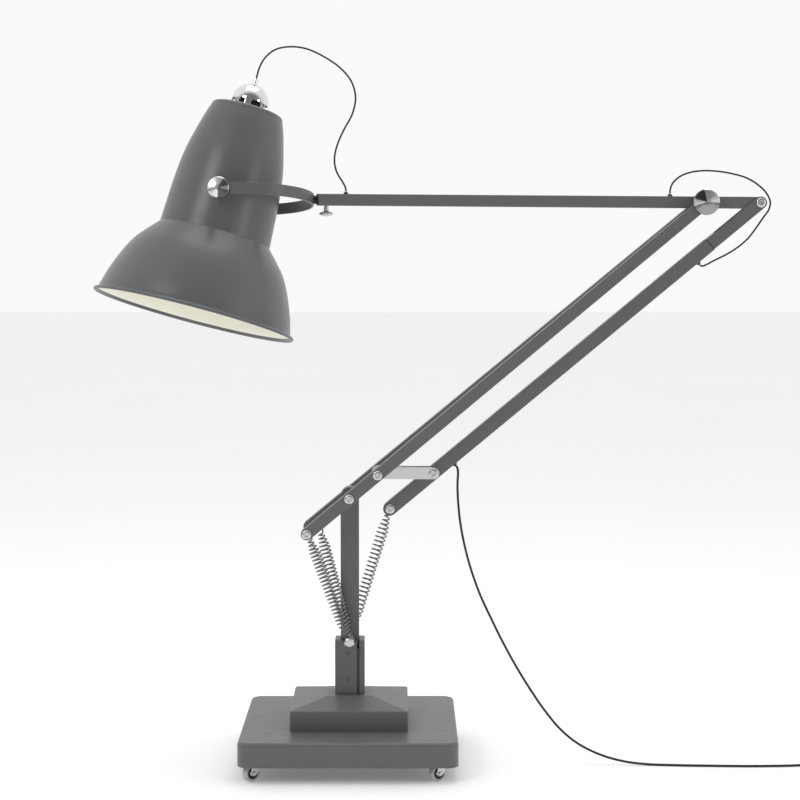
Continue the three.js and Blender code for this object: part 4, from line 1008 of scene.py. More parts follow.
class LAMP_OT_castors(bpy.types.Operator):
    """Four twin-cheeked castors with grey tyres on black rims"""

    bl_idname = "lamp.castors"
    bl_label = "Castors"

    def execute(self, context):
        for number in CASTORS:
            site = castor_site(number)
            self.fork(number, site)
            self.wheel(number, site.moved(CASTOR_TRAIL, 0, WHEEL_RADIUS))
        return {"FINISHED"}

    def fork(self, number, site):
        crown = turned(fillet([
            (0, 38.2), (15, 38.2, 1), (15.6, 42, 1.4), (11, 42.4, 1), (9, 44.5), (6, 44.5, 0.6), (6, 70),
            (0, 70),
        ], closed=False), sides=48)
        outline = fillet([
            (-9, 40, 1), (-10, 33, 3), (3, 15, 4), (10, 11.5, 5), (17, 15, 4), (17, 24, 5), (14, 34, 3),
            (13, 40, 1),
        ])
        cheeks = [softened(prism(outline, side - 1.2, side + 1.2), 0.5, segments=2) for side in (-10.2, 10.2)]
        bolt = turned(fillet([
            (0, -13.6), (3.6, -13.6, 0.8), (4.4, -11.6, 0.4), (2.5, -11.5), (2.5, 11.5), (4.4, 11.6, 0.4),
            (3.6, 13.6, 0.8), (0, 13.6),
        ], closed=False), along="Y", sides=32)
        shifted(bolt, CASTOR_TRAIL, 0, WHEEL_RADIUS)
        add(f"castor_frame_{number}", merged(crown, *cheeks, bolt), site, f"castor_{number}", "castor_steel",
            [f"castor_fork_{number}"])

    def wheel(self, number, site):
        body = f"wheel_{number}"
        tread = fillet([
            (12.6, -7.4), (15, -7.8, 1), (18, -5.4, 3.5), (18, 5.4, 3.5), (15, 7.8, 1), (12.6, 7.4),
        ], closed=False)
        add(f"castor_tyre_{number}", turned([*tread, tread[0]], "Y", 64), site, body, "castor_tyre",
            [f"castor_wheel_{number}"])
        rim = fillet([
            (7, -6.6), (8, -7.4, 0.5), (12.3, -7.6, 0.5), (12.4, 0), (12.3, 7.6, 0.5), (8, 7.4, 0.5),
            (7, 6.6),
        ], closed=False)
        add(f"castor_rim_{number}", turned([*rim, rim[0]], "Y", 48), site, body, "black_plastic")
        hub = fillet([
            (3, -8.4), (5.5, -8.4, 0.8), (6.8, -6.8), (6.8, 6.8), (5.5, 8.4, 0.8), (3, 8.4),
        ], closed=False)
        add(f"castor_hub_{number}", turned([*hub, hub[0]], "Y", 40), site, body, "chrome")


# ------------------------------------------------------------------ column

SOCKET_WIDTH = 62
SOCKET_DEPTH = 50
SOCKET_FLOOR = 6
SOCKET_CUT = 18  # how far the front wall stays below the top
PLATE_LEFT = -31
PLATE_RIGHT = 15
STRIP_LEFT = 20
PLATE_THICKNESS = 6
SOCKET_SCREWS = (177, 231)
SOCKET_SCREW_X = -4
PLATE_NOTCH = 13
PLATE_FACE = -SOCKET_DEPTH / 2 - GAP - PLATE_THICKNESS


class LAMP_OT_column(bpy.types.Operator):
    """The column, its clamped socket and the socket's front plate"""

    bl_idname = "lamp.column"
    bl_label = "Column"

    def execute(self, context):
        half = COLUMN_WIDTH / 2
        bottom = SOCKET_BOTTOM + SOCKET_FLOOR + GAP
        outline = bar_outline(0, PIVOT_HEIGHT - bottom, COLUMN_WIDTH, False, True, 28)
        outline = [(-b, a + bottom) for a, b in outline]
        add("column_bar", softened(prism(outline, -COLUMN_DEPTH / 2, COLUMN_DEPTH / 2), sizes().edge), BASE,
            "base",
            "base_paint", ["column"])
        wall = (SOCKET_WIDTH - COLUMN_WIDTH) / 2 - GAP
        depth = SOCKET_DEPTH / 2
        sides = []
        for x0, x1, y0, y1, z0, z1 in (
            (-SOCKET_WIDTH / 2, -SOCKET_WIDTH / 2 + wall, -depth, depth, SOCKET_BOTTOM, SOCKET_TOP),
            (SOCKET_WIDTH / 2 - wall, SOCKET_WIDTH / 2, -depth, depth, SOCKET_BOTTOM, SOCKET_TOP),
            (-half - GAP, half + GAP, COLUMN_DEPTH / 2 + GAP, depth, SOCKET_BOTTOM, SOCKET_TOP),
            (-half - GAP, half + GAP, -depth, -COLUMN_DEPTH / 2 - GAP, SOCKET_BOTTOM,
             SOCKET_TOP - SOCKET_CUT),
            (STRIP_LEFT, SOCKET_WIDTH / 2, PLATE_FACE, -depth, SOCKET_BOTTOM, SOCKET_TOP),
        ):
            sides.append(softened(prism([(x0, z0), (x1, z0), (x1, z1), (x0, z1)], y0, y1), 1.0))
        add("socket_casting", merged(*sides), BASE, "base", "base_paint", ["column_socket"])
        reach = math.asin((ANCHOR_HEIGHT - SOCKET_TOP) / PLATE_NOTCH)
        outline = [(PLATE_LEFT, SOCKET_BOTTOM), (PLATE_RIGHT, SOCKET_BOTTOM), (PLATE_RIGHT, SOCKET_TOP)]
        for step in range(17):
            turn = -reach - (math.pi - 2 * reach) * step / 16
            outline.append((PLATE_NOTCH * math.cos(turn), ANCHOR_HEIGHT + PLATE_NOTCH * math.sin(turn)))
        outline.append((PLATE_LEFT, SOCKET_TOP))
        plate = softened(prism(outline, PLATE_FACE, -depth - GAP), 0.9)
        add("socket_front", plate, BASE, "base", "base_paint", ["socket_plate"])
        for number, height in enumerate(SOCKET_SCREWS, 1):
            profile = button_head(5.4, PLATE_FACE - 1.2, PLATE_FACE + 1.6, 3.0)
            add(f"socket_bolt_{number}", turned([*profile, (3.0, -16), (0, -16)], "Y"),
                BASE.moved(SOCKET_SCREW_X, 0, height), "base", "base_paint", [f"socket_screw_{number}"])
        return {"FINISHED"}


# ------------------------------------------------------------------ screws and pins

HEAD_THICKNESS = 3.5
HEX_SOCKET = 4.6
SCREW_SHANK = 5
PIVOT_SHANK = 6
ANCHOR_SHANK = 6
PEG_SHANK = 4
PEG_PLACE = -88  # along the lower arm from the main pivot
PEG_LEVEL = -5


def button_head(radius, top, under, socket):
    """A domed head with a hexagon socket, from its top at the first height to its seat at the second."""
    inward = 1 if under > top else -1
    depth = inward * min(2.2, 0.75 * abs(under - top) + 0.6)
    profile = [(0, top + depth), (socket, top + depth, "hexagon"), (socket, top + 0.2 * inward, "hexagon")]
    rim = under - inward * 0.5
    for step in range(7):
        turn = math.pi / 2 * step / 6
        reach = socket + 0.6 + (radius - socket - 0.6) * math.sin(turn)
        profile.append((reach, top + (rim - top) * (1 - math.cos(turn))))
    profile.append((radius - 0.3, under))
    return profile


def cross_screw(radius, face, sleeve=()):
    """A screw through the lamp with a head outside each of two faces, and a spacer on its shank."""
    seat = face + 2 * GAP
    near = button_head(HEAD_RADIUS, -seat - HEAD_THICKNESS, -seat, HEX_SOCKET)
    far = [(r, -y, *form) for r, y, *form in reversed(near)]
    shank = [(radius, -seat), *sleeve, (radius, seat)] if sleeve else [(radius, -seat), (radius, seat)]
    return turned([*near, *shank, *far], "Y")


def spacers(radius, low, high, shank):
    """Two spacers on a shank, between low and high on each side of the middle."""
    return [(shank, -high), (radius, -high), (radius, -low), (shank, -low),
            (shank, low), (radius, low), (radius, high), (shank, high)]


class LAMP_OT_screws(bpy.types.Operator):
    """The pivot screws, the spring pins and the elbow bolt"""

    bl_idname = "lamp.screws"
    bl_label = "Screws and pins"

    def execute(self, context):
        sleeve = spacers(11, COLUMN_DEPTH / 2 + GAP, tube_inside(11), PIVOT_SHANK)
        add("main_pivot_screw", cross_screw(PIVOT_SHANK, tube_outside(0), sleeve), ARM, "base", "pin_steel",
            ["main_pivot_bolt"])
        add("low_end_screw", cross_screw(SCREW_SHANK, tube_outside(-ARM_TAIL)), ARM.moved(-ARM_TAIL, 0, 0),
            "main_arm", "pin_steel", ["low_end_pin"])
        link_place = (pivot("link_hinge") - pivot("main_arm_hinge")).length / MM
        sleeve = spacers(9, LINK_OUTSIDE + GAP, tube_inside(link_place + 9), SCREW_SHANK)
        add("link_screw", cross_screw(SCREW_SHANK, tube_outside(link_place), sleeve),
            ARM.moved(link_place, 0, 0), "main_arm", "pin_steel", ["link_pin"])
        add("link_end_screw", cross_screw(SCREW_SHANK, LINK_OUTSIDE), LINK.moved(LINK_LENGTH, 0, 0), "link",
            "pin_steel", ["link_end_pin"])
        add("tail_screw", cross_screw(SCREW_SHANK, FORK_OUTSIDE), FORK, "bar_fork", "pin_steel", ["tail_pin"])
        self.spring_pins()
        self.elbow()
        return {"FINISHED"}

    def spring_pins(self):
        root = -tube_inside(PEG_PLACE)
        peg = fillet([
            (0, root), (PEG_SHANK, root), (PEG_SHANK, -26), (6.5, -26, 0.4), (6.5, -23.5, 1), (0, -23.5),
        ], closed=False)
        add("inner_peg", turned(peg, "Y"), ARM.moved(PEG_PLACE, 0, PEG_LEVEL), "main_arm", "pin_steel",
            ["inner_spring_peg"])
        front = -BAR_THICKNESS / 2 - 2 * GAP
        head = button_head(HEAD_RADIUS, front - HEAD_THICKNESS, front, HEX_SOCKET)
        tail = fillet([(SCREW_SHANK, 26), (8, 26, 0.4), (8, 29, 1), (0, 29)], closed=False)
        add("bar_low_screw", turned([*head, (SCREW_SHANK, front), *tail], "Y"), BAR.moved(-BAR_TAIL, 0, 0),
            "second_bar",
            "pin_steel", ["second_bar_pin"])
        anchor = fillet([
            (0, -70), (7.4, -70, 1), (8.2, -68.4, 0.5), (9, -68, 0.5), (10.3, -67.2, 0.6), (10.3, -65, 0.5),
            (ANCHOR_SHANK, -65), (ANCHOR_SHANK, 44), (9, 44, 0.4), (9, 47, 1), (0, 47),
        ], closed=False)
        add("anchor_post", turned(anchor, "Y"), BASE.moved(0, 0, ANCHOR_HEIGHT), "base", "pin_steel",
            ["anchor_pin"])

    def elbow(self):
        face = elbow_face()
        bolt = fillet([
            (0, -face - 10), (8, -face - 10, 0.5), (8, face), (20, face, 0.6), (20, face + 2.2, 1),
            (9, face + 9.3, 1),
            (0, face + 9.5),
        ], closed=False)
        add("elbow_shaft", turned(bolt, "Y"), ARM.moved(ARM_LENGTH, 0, 0), "main_arm", "pin_steel",
            ["elbow_bolt"])


ELBOW_KNOB_RADIUS = 27
SHADE_KNOB_RADIUS = 22
BOSS_FACE = STIRRUP_HALF_WIDTH - GAP


def elbow_face():
    return tube_outside(ARM_LENGTH - ELBOW_KNOB_RADIUS) + GAP


def spun_knob(radius, face, side, stem, stem_end):
    """A disc knob whose cap is a shallow spun cone, outside a face; side is -1 for the near side."""
    profile = [
        (0, stem_end), (stem, stem_end), (stem, face), (radius - 1.2, face, 0.6), (radius, face + 1.2, 0.8),
        (radius, face + 5.6, 0.9), (radius - 1.6, face + 7.4, 0.8), (0.3 * radius, face + 11.6, 1.5),
        (0, face + 12.2),
    ]
    return turned([(r, side * y) for r, y in fillet(profile, closed=False)], "Y", 96)


class LAMP_OT_knobs(bpy.types.Operator):
    """The spun elbow and shade knobs and the arm end's thumbscrew"""

    bl_idname = "lamp.knobs"
    bl_label = "Knobs"

    def execute(self, context):
        metal = spun_finish("elbow_knob_steel", "elbow_knob", ACROSS, ELBOW_PAINTED_LIGHT)
        add("elbow_disc", spun_knob(ELBOW_KNOB_RADIUS, elbow_face(), -1, 8.4, elbow_face() + 0.5),
            ARM.moved(ARM_LENGTH, 0, 0), "elbow_knob", metal, ["elbow_knob"])
        band = STIRRUP_HALF_WIDTH + STIRRUP_BAND + GAP
        for side, word in ((-1, "near"), (1, "far")):
            knob = f"shade_knob_{word}"
            metal = spun_finish(f"shade_knob_steel_{word}", knob, axis("shade_tilt"), SHADE_KNOB_PAINTED_LIGHT)
            disc = spun_knob(SHADE_KNOB_RADIUS, band, side, 5, band - STIRRUP_BAND - 9)
            add(f"shade_disc_{word}", disc, SHADE, knob, metal, [knob])
            seat = PIVOT_RADIUS - 1
            boss = fillet([
                (0, seat), (15, seat, 1), (15, seat + 4, 1.2), (11, seat + 6, 1), (11, BOSS_FACE, 0.6),
                (5.4, BOSS_FACE), (5.4, BOSS_FACE - 10), (0, BOSS_FACE - 10),
            ], closed=False)
            spacer = turned([(r, side * y) for r, y in boss], "Y")
            add(f"shade_spacer_{word}", spacer, SHADE, "shade", "pin_steel", [f"shade_boss_{word}"])
        half = UPPER_HEIGHT / 2
        profile = [(0, 2 - half), (3, 2 - half), (3, -half - 1), *fillet([
            (3, -half - 1), (5, -half - 1, 0.5), (5, -half - 11, 1), (11, -half - 13.2, 3),
            (14, -half - 14.6, 0.5),
        ], closed=False)[1:]]
        profile += [
            (14.5, -half - 15.2, "knurl"), (14.5, -half - 18.2, "knurl"), (13.8, -half - 19), (8, -half - 22),
            (0, -half - 22.5),
        ]
        place = middle("thumbscrew")
        metal = spun_finish("thumbscrew_steel", "thumbscrew", UPPER.direction(0, 0, 1))
        reach = (place - UPPER.origin).dot(UPPER.direction(1, 0, 0)) / MM
        knob = turned(profile, "Z", 96)
        add("thumb_knob", knob, UPPER.moved(reach, 0, 0), "thumbscrew", metal, ["thumbscrew"])
        return {"FINISHED"}


# ------------------------------------------------------------------ arms and link


class LAMP_OT_arms(bpy.types.Operator):
    """The lower arm's two tubes, the second bar and its fork, the upper arm and the link plates"""

    bl_idname = "lamp.arms"
    bl_label = "Arms and link"

    def execute(self, context):
        edge = sizes().edge
        half = ARM_THICKNESS / 2
        for side, word in ((-1, "near"), (1, "far")):
            tube_shape = softened(prism(bar_outline(-ARM_TAIL, ARM_LENGTH, ARM_HEIGHT), -half, half), edge)
            tube_shape.transform(Matrix.Rotation(-side * SPLAY, 4, "Z"))
            shifted(tube_shape, 0, side * half_spread(0), 0)
            add(f"lower_arm_{word}", tube_shape, ARM, "main_arm", "arm_paint", [f"arm_tube_{word}"])
            inner, outer = sorted((side * LINK_INSIDE, side * LINK_OUTSIDE))
            plate = softened(prism(bar_outline(0, LINK_LENGTH, LINK_WIDTH), inner, outer), 0.8)
            add(f"link_strip_{word}", plate, LINK, "link", "link_metal", [f"link_plate_{word}"])
        top = BAR_LENGTH - FORK_LENGTH - GAP
        bar = bar_outline(-BAR_TAIL, top, BAR_HEIGHT, True, False)
        bar = prism(bar, -BAR_THICKNESS / 2, BAR_THICKNESS / 2)
        add("second_bar_tube", softened(bar, edge), BAR, "second_bar", "arm_paint", ["second_bar"])
        root = bar_outline(-FORK_LENGTH, FORK_ROOT - FORK_LENGTH, FORK_HEIGHT, False, False)
        cheeks = []
        for side in (-1, 1):
            inner, outer = sorted((side * FORK_INSIDE, side * FORK_OUTSIDE))
            cheek = bar_outline(-FORK_LENGTH, 0, FORK_HEIGHT, False, True)
            cheeks.append(softened(prism(cheek, inner, outer), 1.2))
        fork = merged(prism(root, -FORK_INSIDE, FORK_INSIDE), *cheeks)
        add("fork_plates", fork, FORK, "bar_fork", "arm_paint", ["bar_fork"])
        arm = prism(bar_outline(-UPPER_REACH, LINK_LENGTH, UPPER_HEIGHT, False, True), -UPPER_THICKNESS / 2,
                    UPPER_THICKNESS / 2)
        add("upper_arm_tube", softened(arm, edge), UPPER, "upper_arm", "arm_paint", ["upper_arm"])
        self.grommets()
        return {"FINISHED"}

    def grommets(self):
        under, over = -BAR_HEIGHT / 2, UPPER_HEIGHT / 2
        for name, node, site, face, bore, body in (
            ("mains_bush", "mains_grommet", BAR.moved(46, 0, 0), under, MAINS_CORD_RADIUS, "second_bar"),
            ("loop_bush_low", "loop_grommet_low", BAR.moved(BAR_LENGTH - 178, 0, 0), under, LOOP_CORD_RADIUS,
             "second_bar"),
            ("loop_bush_high", "loop_grommet_high", UPPER.moved(-71, 0, 0), over, LOOP_CORD_RADIUS,
             "upper_arm"),
            ("head_cord_bush", "head_cord_grommet", UPPER.moved(-748, 0, 0), over, LOOP_CORD_RADIUS,
             "upper_arm"),
        ):
            profile = fillet([
                (bore, 0.1), (5.5, 0.1, 0.3), (5.5, 1.8, 0.8), (3.9, 2.6, 0.8), (3.4, 5, 0.4), (bore, 5),
            ])
            profile = [(r, face + math.copysign(z, face)) for r, z in [*profile, profile[0]]]
            add(name, turned(profile, "Z", 40), site, body, "black_plastic", [node])


# ------------------------------------------------------------------ springs

SPRING_RADIUS = 11
SPRING_LEAD = 16  # from a pin to the coil's first turn
SPRING_STEPS = 18  # points in each turn
EYE_STEPS = 20
EYE_SWEEP = 250  # degrees
# each spring is cut at these shares of its length, and keeps this share of the arm's motion there
SPRING_CUTS = ((0.0, 1.0), (0.12, 0.54), (0.4, 0.19), (1.0, 0.0))


def spring_points(top, bottom, pins):
    """A tension spring from pin to pin along Y: an eye round each, and a coil that narrows at its ends.
    Returns (point, place along the spring) pairs, with 0 at the top pin and 1 at the bottom pin."""
    line = bottom - top
    length = line.length / MM
    down = line.normalized()
    side = ACROSS.cross(down).normalized()
    wire = sizes().spring_wire
    eyes = [radius + wire + 0.5 for radius in pins]
    turns = sizes().spring_turns
    local = []
    for step in range(EYE_STEPS + 1):
        turn = math.radians(70 - step * EYE_SWEEP / EYE_STEPS)
        local.append((eyes[0] * math.cos(turn), 0, eyes[0] * math.sin(turn)))
    steps = turns * SPRING_STEPS
    for step in range(steps + 1):
        share = step / steps
        taper = min(1.0, 0.42 + 4.2 * min(share, 1 - share))
        turn = math.pi + 2 * math.pi * turns * share
        radius = SPRING_RADIUS * taper
        depth = SPRING_LEAD + (length - 2 * SPRING_LEAD) * share
        local.append((radius * math.cos(turn), radius * math.sin(turn), depth))
    for step in range(EYE_STEPS + 1):
        turn = math.radians(180 - step * EYE_SWEEP / EYE_STEPS)
        local.append((eyes[1] * math.cos(turn), 0, length + eyes[1] * math.sin(turn)))
    cross = down.cross(side)
    return [(top + (side * x + cross * y + down * z) * MM, z / length) for x, y, z in local]


def spring_runs(points, cuts):
    """Splits a spring's points where the cuts fall, so that neighbours share their end point."""
    runs, start = [], 0
    for place, _ in cuts[1:]:
        end = len(points) - 1
        if place < 1:
            end = next(i for i, (_, along) in enumerate(points) if i > EYE_STEPS and along >= place)
        runs.append([point for point, _ in points[start : end + 1]])
        start = end
    return runs


class LAMP_OT_springs(bpy.types.Operator):
    """Three tension springs between the arms' low ends and the anchor post"""

    bl_idname = "lamp.springs"
    bl_label = "Springs"

    def execute(self, context):
        post = BASE.moved(0, 0, ANCHOR_HEIGHT)
        for name, top, bottom, pin in (
            ("spring_near", ARM.point(-ARM_TAIL, -46, 0), post.point(0, -57, 0), SCREW_SHANK),
            ("spring_inner", ARM.point(PEG_PLACE, -30, PEG_LEVEL), post.point(0, -31.5, 0), PEG_SHANK),
            ("spring_rear", BAR.point(-BAR_TAIL, 22, 0), post.point(0, 36, 0), SCREW_SHANK),
        ):
            points = spring_points(top, bottom, (pin, ANCHOR_SHANK))
            for number, run in enumerate(spring_runs(points, SPRING_CUTS)):
                wire = bare(f"{name}_{'abc'[number]}", tube(run, sizes().spring_wire, 8), "spring_chrome")
                if number == 0:
                    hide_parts(name)
                pull(wire, top, bottom, SPRING_CUTS[number : number + 2])
        return {"FINISHED"}


# ------------------------------------------------------------------ stirrup and shade


class LAMP_OT_stirrup(bpy.types.Operator):
    """The stirrup's bent strip, its swivel stub and the arm's end plug"""

    bl_idname = "lamp.stirrup"
    bl_label = "Stirrup"

    def execute(self, context):
        add("stirrup_strip", self.strip(), STIRRUP, "stirrup", "stirrup_paint", ["stirrup"])
        inside = -STIRRUP_BACK - STIRRUP_BAND - 2 * GAP
        outside = -STIRRUP_BACK + GAP
        end = -UPPER_REACH - 3 - GAP
        stub = fillet([
            (0, inside - 4), (9, inside - 4, 1.2), (9, inside, 0.4), (5, inside), (5, outside),
            (9, outside, 0.5),
            (9, end, 0.5), (5, end), (5, 28 - UPPER_REACH), (0, 28 - UPPER_REACH),
        ], closed=False)
        lengthwise = Site(STIRRUP.origin, STIRRUP.direction(0, 1, 0), STIRRUP.direction(0, 0, 1))
        add("swivel_post", turned(stub, "Z"), lengthwise, "stirrup", "black_plastic", ["swivel_stub"])
        half = UPPER_HEIGHT / 2
        cap = prism([(-UPPER_REACH - 3, -half), (-UPPER_REACH - GAP, -half), (-UPPER_REACH - GAP, half),
                     (-UPPER_REACH - 3, half)], -UPPER_THICKNESS / 2, UPPER_THICKNESS / 2)
        add("arm_cap", softened(cap, 0.8), UPPER, "upper_arm", "black_plastic", ["arm_end_plug"])
        return {"FINISHED"}

    def strip(self):
        """A strip swept round the stirrup, whose height rounds off past each shade pivot."""
        middle_radius = STIRRUP_HALF_WIDTH + STIRRUP_BAND / 2
        centre = -STIRRUP_BACK - STIRRUP_HALF_WIDTH - STIRRUP_BAND
        half = STIRRUP_HEIGHT / 2
        stations = []
        for step in range(13):
            turn = math.pi / 2 * step / 12
            height = max(half * math.sin(turn), 1.2)
            stations.append(((-SHADE_REACH - half * math.cos(turn), -middle_radius), (0, -1), height))
        for step in range(1, 8):
            x = -SHADE_REACH + (centre + SHADE_REACH) * step / 8
            stations.append(((x, -middle_radius), (0, -1), half))
        for step in range(49):
            turn = -math.pi / 2 + math.pi * step / 48
            out = (math.cos(turn), math.sin(turn))
            stations.append(((centre + middle_radius * out[0], middle_radius * out[1]), out, half))
        for place, _, height in reversed(stations[:20]):
            stations.append(((place[0], -place[1]), (0, 1), height))
        shape = bmesh.new()
        rings = []
        for (x, y), (across_x, across_y), height in stations:
            edge = min(1.0, 0.8 * height)
            thick = STIRRUP_BAND / 2
            section = fillet([(thick, height, edge), (-thick, height, edge), (-thick, -height, edge),
                              (thick, -height, edge)], steps=3)
            rings.append([shape.verts.new((x + t * across_x, y + t * across_y, z)) for t, z in section])
        return skinned(shape, rings)


SHADE_RIM = 214
SHADE_TOP = 445
SHADE_WALL = 2.0
SHADE_TOP_HOLE = 20
PIVOT_RADIUS = 113.7
BELL_PROFILE = [
    (204, 12), (197, 38), (186, 69), (172.5, 100), (158, 125), (143.5, 143), (128, 160), (118.3, 170.6),
]
BODY_PROFILE = [(117.6, 171.6), (115.5, 212), (112, 274), (104.5, 335), (91, 391), (83, 419), (77, 436)]


def above_rim(height):
    """A height above the rim's plane, as a height above the shade's pivot."""
    return height - SHADE_PIVOT_HEIGHT


def in_shade(profile):
    """A profile drawn above the rim's plane, moved to the shade's own frame."""
    return [(radius, above_rim(height)) for radius, height in profile]


def rounded(profile, steps=7):
    """The same outline with its bends rounded out."""
    points = smooth_path([(radius, height, 0) for radius, height in profile], steps)
    return [(point.x, point.y) for point in points]


class LAMP_OT_shade(bpy.types.Operator):
    """The spun shade with its rolled rim and cream lining, and the lampholder and bulb inside it"""

    bl_idname = "lamp.shade"
    bl_label = "Shade"

    def execute(self, context):
        profile, lining_from = self.profile()
        add("shade_shell", turned(profile, "Z", 144, lining_from), SHADE, "shade",
            ["shade_paint", "shade_lining"],
            ["bell", "shade"], smooth_angle=60)
        self.lampholder()
        self.bulb()
        return {"FINISHED"}

    def profile(self):
        walls = [*rounded(BELL_PROFILE), *rounded(BODY_PROFILE)]
        rim = fillet([(SHADE_RIM - 9, 3.5), (SHADE_RIM - 3, -3, 3), (SHADE_RIM, -3, 2.9), (SHADE_RIM, 3, 2.9),
                      (SHADE_RIM - 6, 3.6, 1.5), (205.5, 6)], closed=False, steps=6)
        shoulder_radius, shoulder_height = BODY_PROFILE[-1]
        shoulder = fillet([
            (shoulder_radius, shoulder_height), (shoulder_radius - 2, SHADE_TOP - 0.2, 7),
            (shoulder_radius - 16, SHADE_TOP, 2), (SHADE_TOP_HOLE, SHADE_TOP),
        ], closed=False)[1:]
        outer = [*rim, *walls, *shoulder]
        under = [(SHADE_TOP_HOLE, SHADE_TOP - SHADE_WALL), (shoulder_radius - 14, SHADE_TOP - SHADE_WALL)]
        inner = [(radius - SHADE_WALL, height - 0.6) for radius, height in reversed(walls)]
        points = [*outer, *under, *inner, rim[0]]
        return in_shade(points), len(outer)

    def lampholder(self):
        top = SHADE_TOP - SHADE_WALL - GAP
        profile = fillet([
            (0, top), (30, top, 1), (30, top - 4, 1), (21, top - 6, 1.5), (21, top - 30, 1),
            (24, top - 32, 1),
            (24, top - 56, 1.5), (14.5, top - 56, 1), (14.5, top - 40), (0, top - 40),
        ], closed=False)
        add("lamp_socket", turned(in_shade(profile)), SHADE, "shade", "porcelain", ["lampholder"])

    def bulb(self):
        top = SHADE_TOP - SHADE_WALL - 2 * GAP - 41
        centre, radius = top - 88, 34
        thread = [(0, top)] + [(13 - 0.6 * math.cos(2 * math.pi * i / 4), top - 1 - i) for i in range(22)]
        neck = [(12.6, top - 24), (13.4, top - 30), (16, top - 40)]
        globe = []
        for step in range(25):
            turn = math.radians(52 - 142 * step / 24)
            globe.append((max(radius * math.cos(turn), 0), centre + radius * math.sin(turn)))
        globe[-1] = (0, centre - radius)
        cap = turned(in_shade([*thread, neck[0], (0, top - 24)]), sides=48)
        glass = turned(in_shade([(0, top - 24 - GAP), *neck, *globe]))
        cap_piece = add("bulb_cap", cap, SHADE, "shade", "chrome")
        cap_piece.parent = add("bulb_globe", glass, SHADE, "shade", "bulb_glass", ["bulb"])


COLLAR_RADIUS = 22
COLLAR_HEIGHT = 26
COLLAR_RIBS = 5
DOME_RADIUS = 39
DOME_HEIGHT = 55
DOME_WALL = 2.5
WINDOW_WIDTH = 45
NIPPLE_RADIUS = 5
NIPPLE_HEIGHT = 13


class LAMP_OT_cap(bpy.types.Operator):
    """The chromed cap on its four legs, the ribbed neck under it and the nipple for the head cord"""

    bl_idname = "lamp.cap"
    bl_label = "Cap"

    def execute(self, context):
        bottom = above_rim(SHADE_TOP + GAP)
        add("vent_neck", self.neck(bottom), SHADE, "shade", "black_plastic", ["cap_collar"])
        add("vent_dome", self.dome(bottom), SHADE, "shade", "chrome", ["cap_dome"], smooth_angle=30)
        return {"FINISHED"}

    def neck(self, bottom):
        flange = COLLAR_RADIUS + 2
        corners = [(LOOP_CORD_RADIUS, bottom), (flange, bottom, 0.5), (flange, bottom + 2, 0.5)]
        pitch = (COLLAR_HEIGHT - 2) / COLLAR_RIBS
        for rib in range(COLLAR_RIBS):
            foot = bottom + 2 + rib * pitch
            corners += [(COLLAR_RADIUS - 1.6, foot), (COLLAR_RADIUS - 1.6, foot + 1.8, 0.3),
                        (COLLAR_RADIUS, foot + 2.6, 0.5), (COLLAR_RADIUS, foot + pitch, 0.4)]
        corners.append((LOOP_CORD_RADIUS, bottom + COLLAR_HEIGHT))
        outline = fillet(corners, steps=3)
        return turned([*outline, outline[0]], sides=96)

    def dome(self, bottom):
        top = bottom + DOME_HEIGHT
        spring = top - DOME_RADIUS
        inside = DOME_RADIUS - DOME_WALL
        crown = math.acos((NIPPLE_RADIUS + 1.5) / DOME_RADIUS)
        outer, inner = [], []
        for step in range(33):
            turn = crown * step / 32
            outer.append((DOME_RADIUS * math.cos(turn), spring + DOME_RADIUS * math.sin(turn)))
            inner.append((inside * math.cos(turn), spring + inside * math.sin(turn)))
        end = top + NIPPLE_HEIGHT
        bore = LOOP_CORD_RADIUS
        nipple = fillet([
            outer[-1], (NIPPLE_RADIUS, top, 1.2), (NIPPLE_RADIUS, end - 1, 1.6), (bore + 0.6, end, 0.6),
            (bore, end - 0.6), (bore, inner[-1][1]),
        ], closed=False)[1:]
        shape = turned([*outer, *nipple, *reversed(inner), outer[0]], sides=96)
        return merged(shape, *[self.leg(turn, bottom, spring) for turn in range(4)])

    def leg(self, turn, bottom, top):
        """One leg of the cap, a strip of its wall below the dome, with a small foot turned out."""
        half = math.asin((DOME_RADIUS / math.sqrt(2) - WINDOW_WIDTH / 2) * math.sqrt(2) / DOME_RADIUS)
        section = []
        for radius, way in ((DOME_RADIUS, 1), (DOME_RADIUS - DOME_WALL, -1)):
            for step in range(9):
                angle = way * half * (step / 4 - 1) + math.pi / 2 * turn
                section.append((radius * math.cos(angle), radius * math.sin(angle)))
        return softened(stacked([(section, bottom), (section, top)]), 0.4, segments=2)


# ------------------------------------------------------------------ kept nodes and stage


class LAMP_OT_finishes(bpy.types.Operator):
    """Puts the iron finish on the ballast, which keeps the frame's own shape"""

    bl_idname = "lamp.finishes"
    bl_label = "Finishes"

    def execute(self, context):
        mesh = frame["nodes"]["ballast"].data
        mesh.materials.clear()
        mesh.materials.append(finish_named("cast_iron"))
        return {"FINISHED"}


CAMERA_PLACE = (106, -4300, 1085)
CAMERA_FALL = 4.27  # degrees below the horizon
CAMERA_LENS = 92.16
SOFTBOXES = (  # name, place and target in metres, side in metres, power in watts
    ("key_softbox", (-2.6, -3.2, 3.4), (0.0, 0.0, 0.7), 1.6, 45),
    ("fill_softbox", (3.4, -2.2, 1.8), (0.1, 0.0, 0.7), 1.2, 14),
    ("top_softbox", (0.2, 0.4, 4.2), (0.1, 0.0, 0.7), 2.4, 30),
)


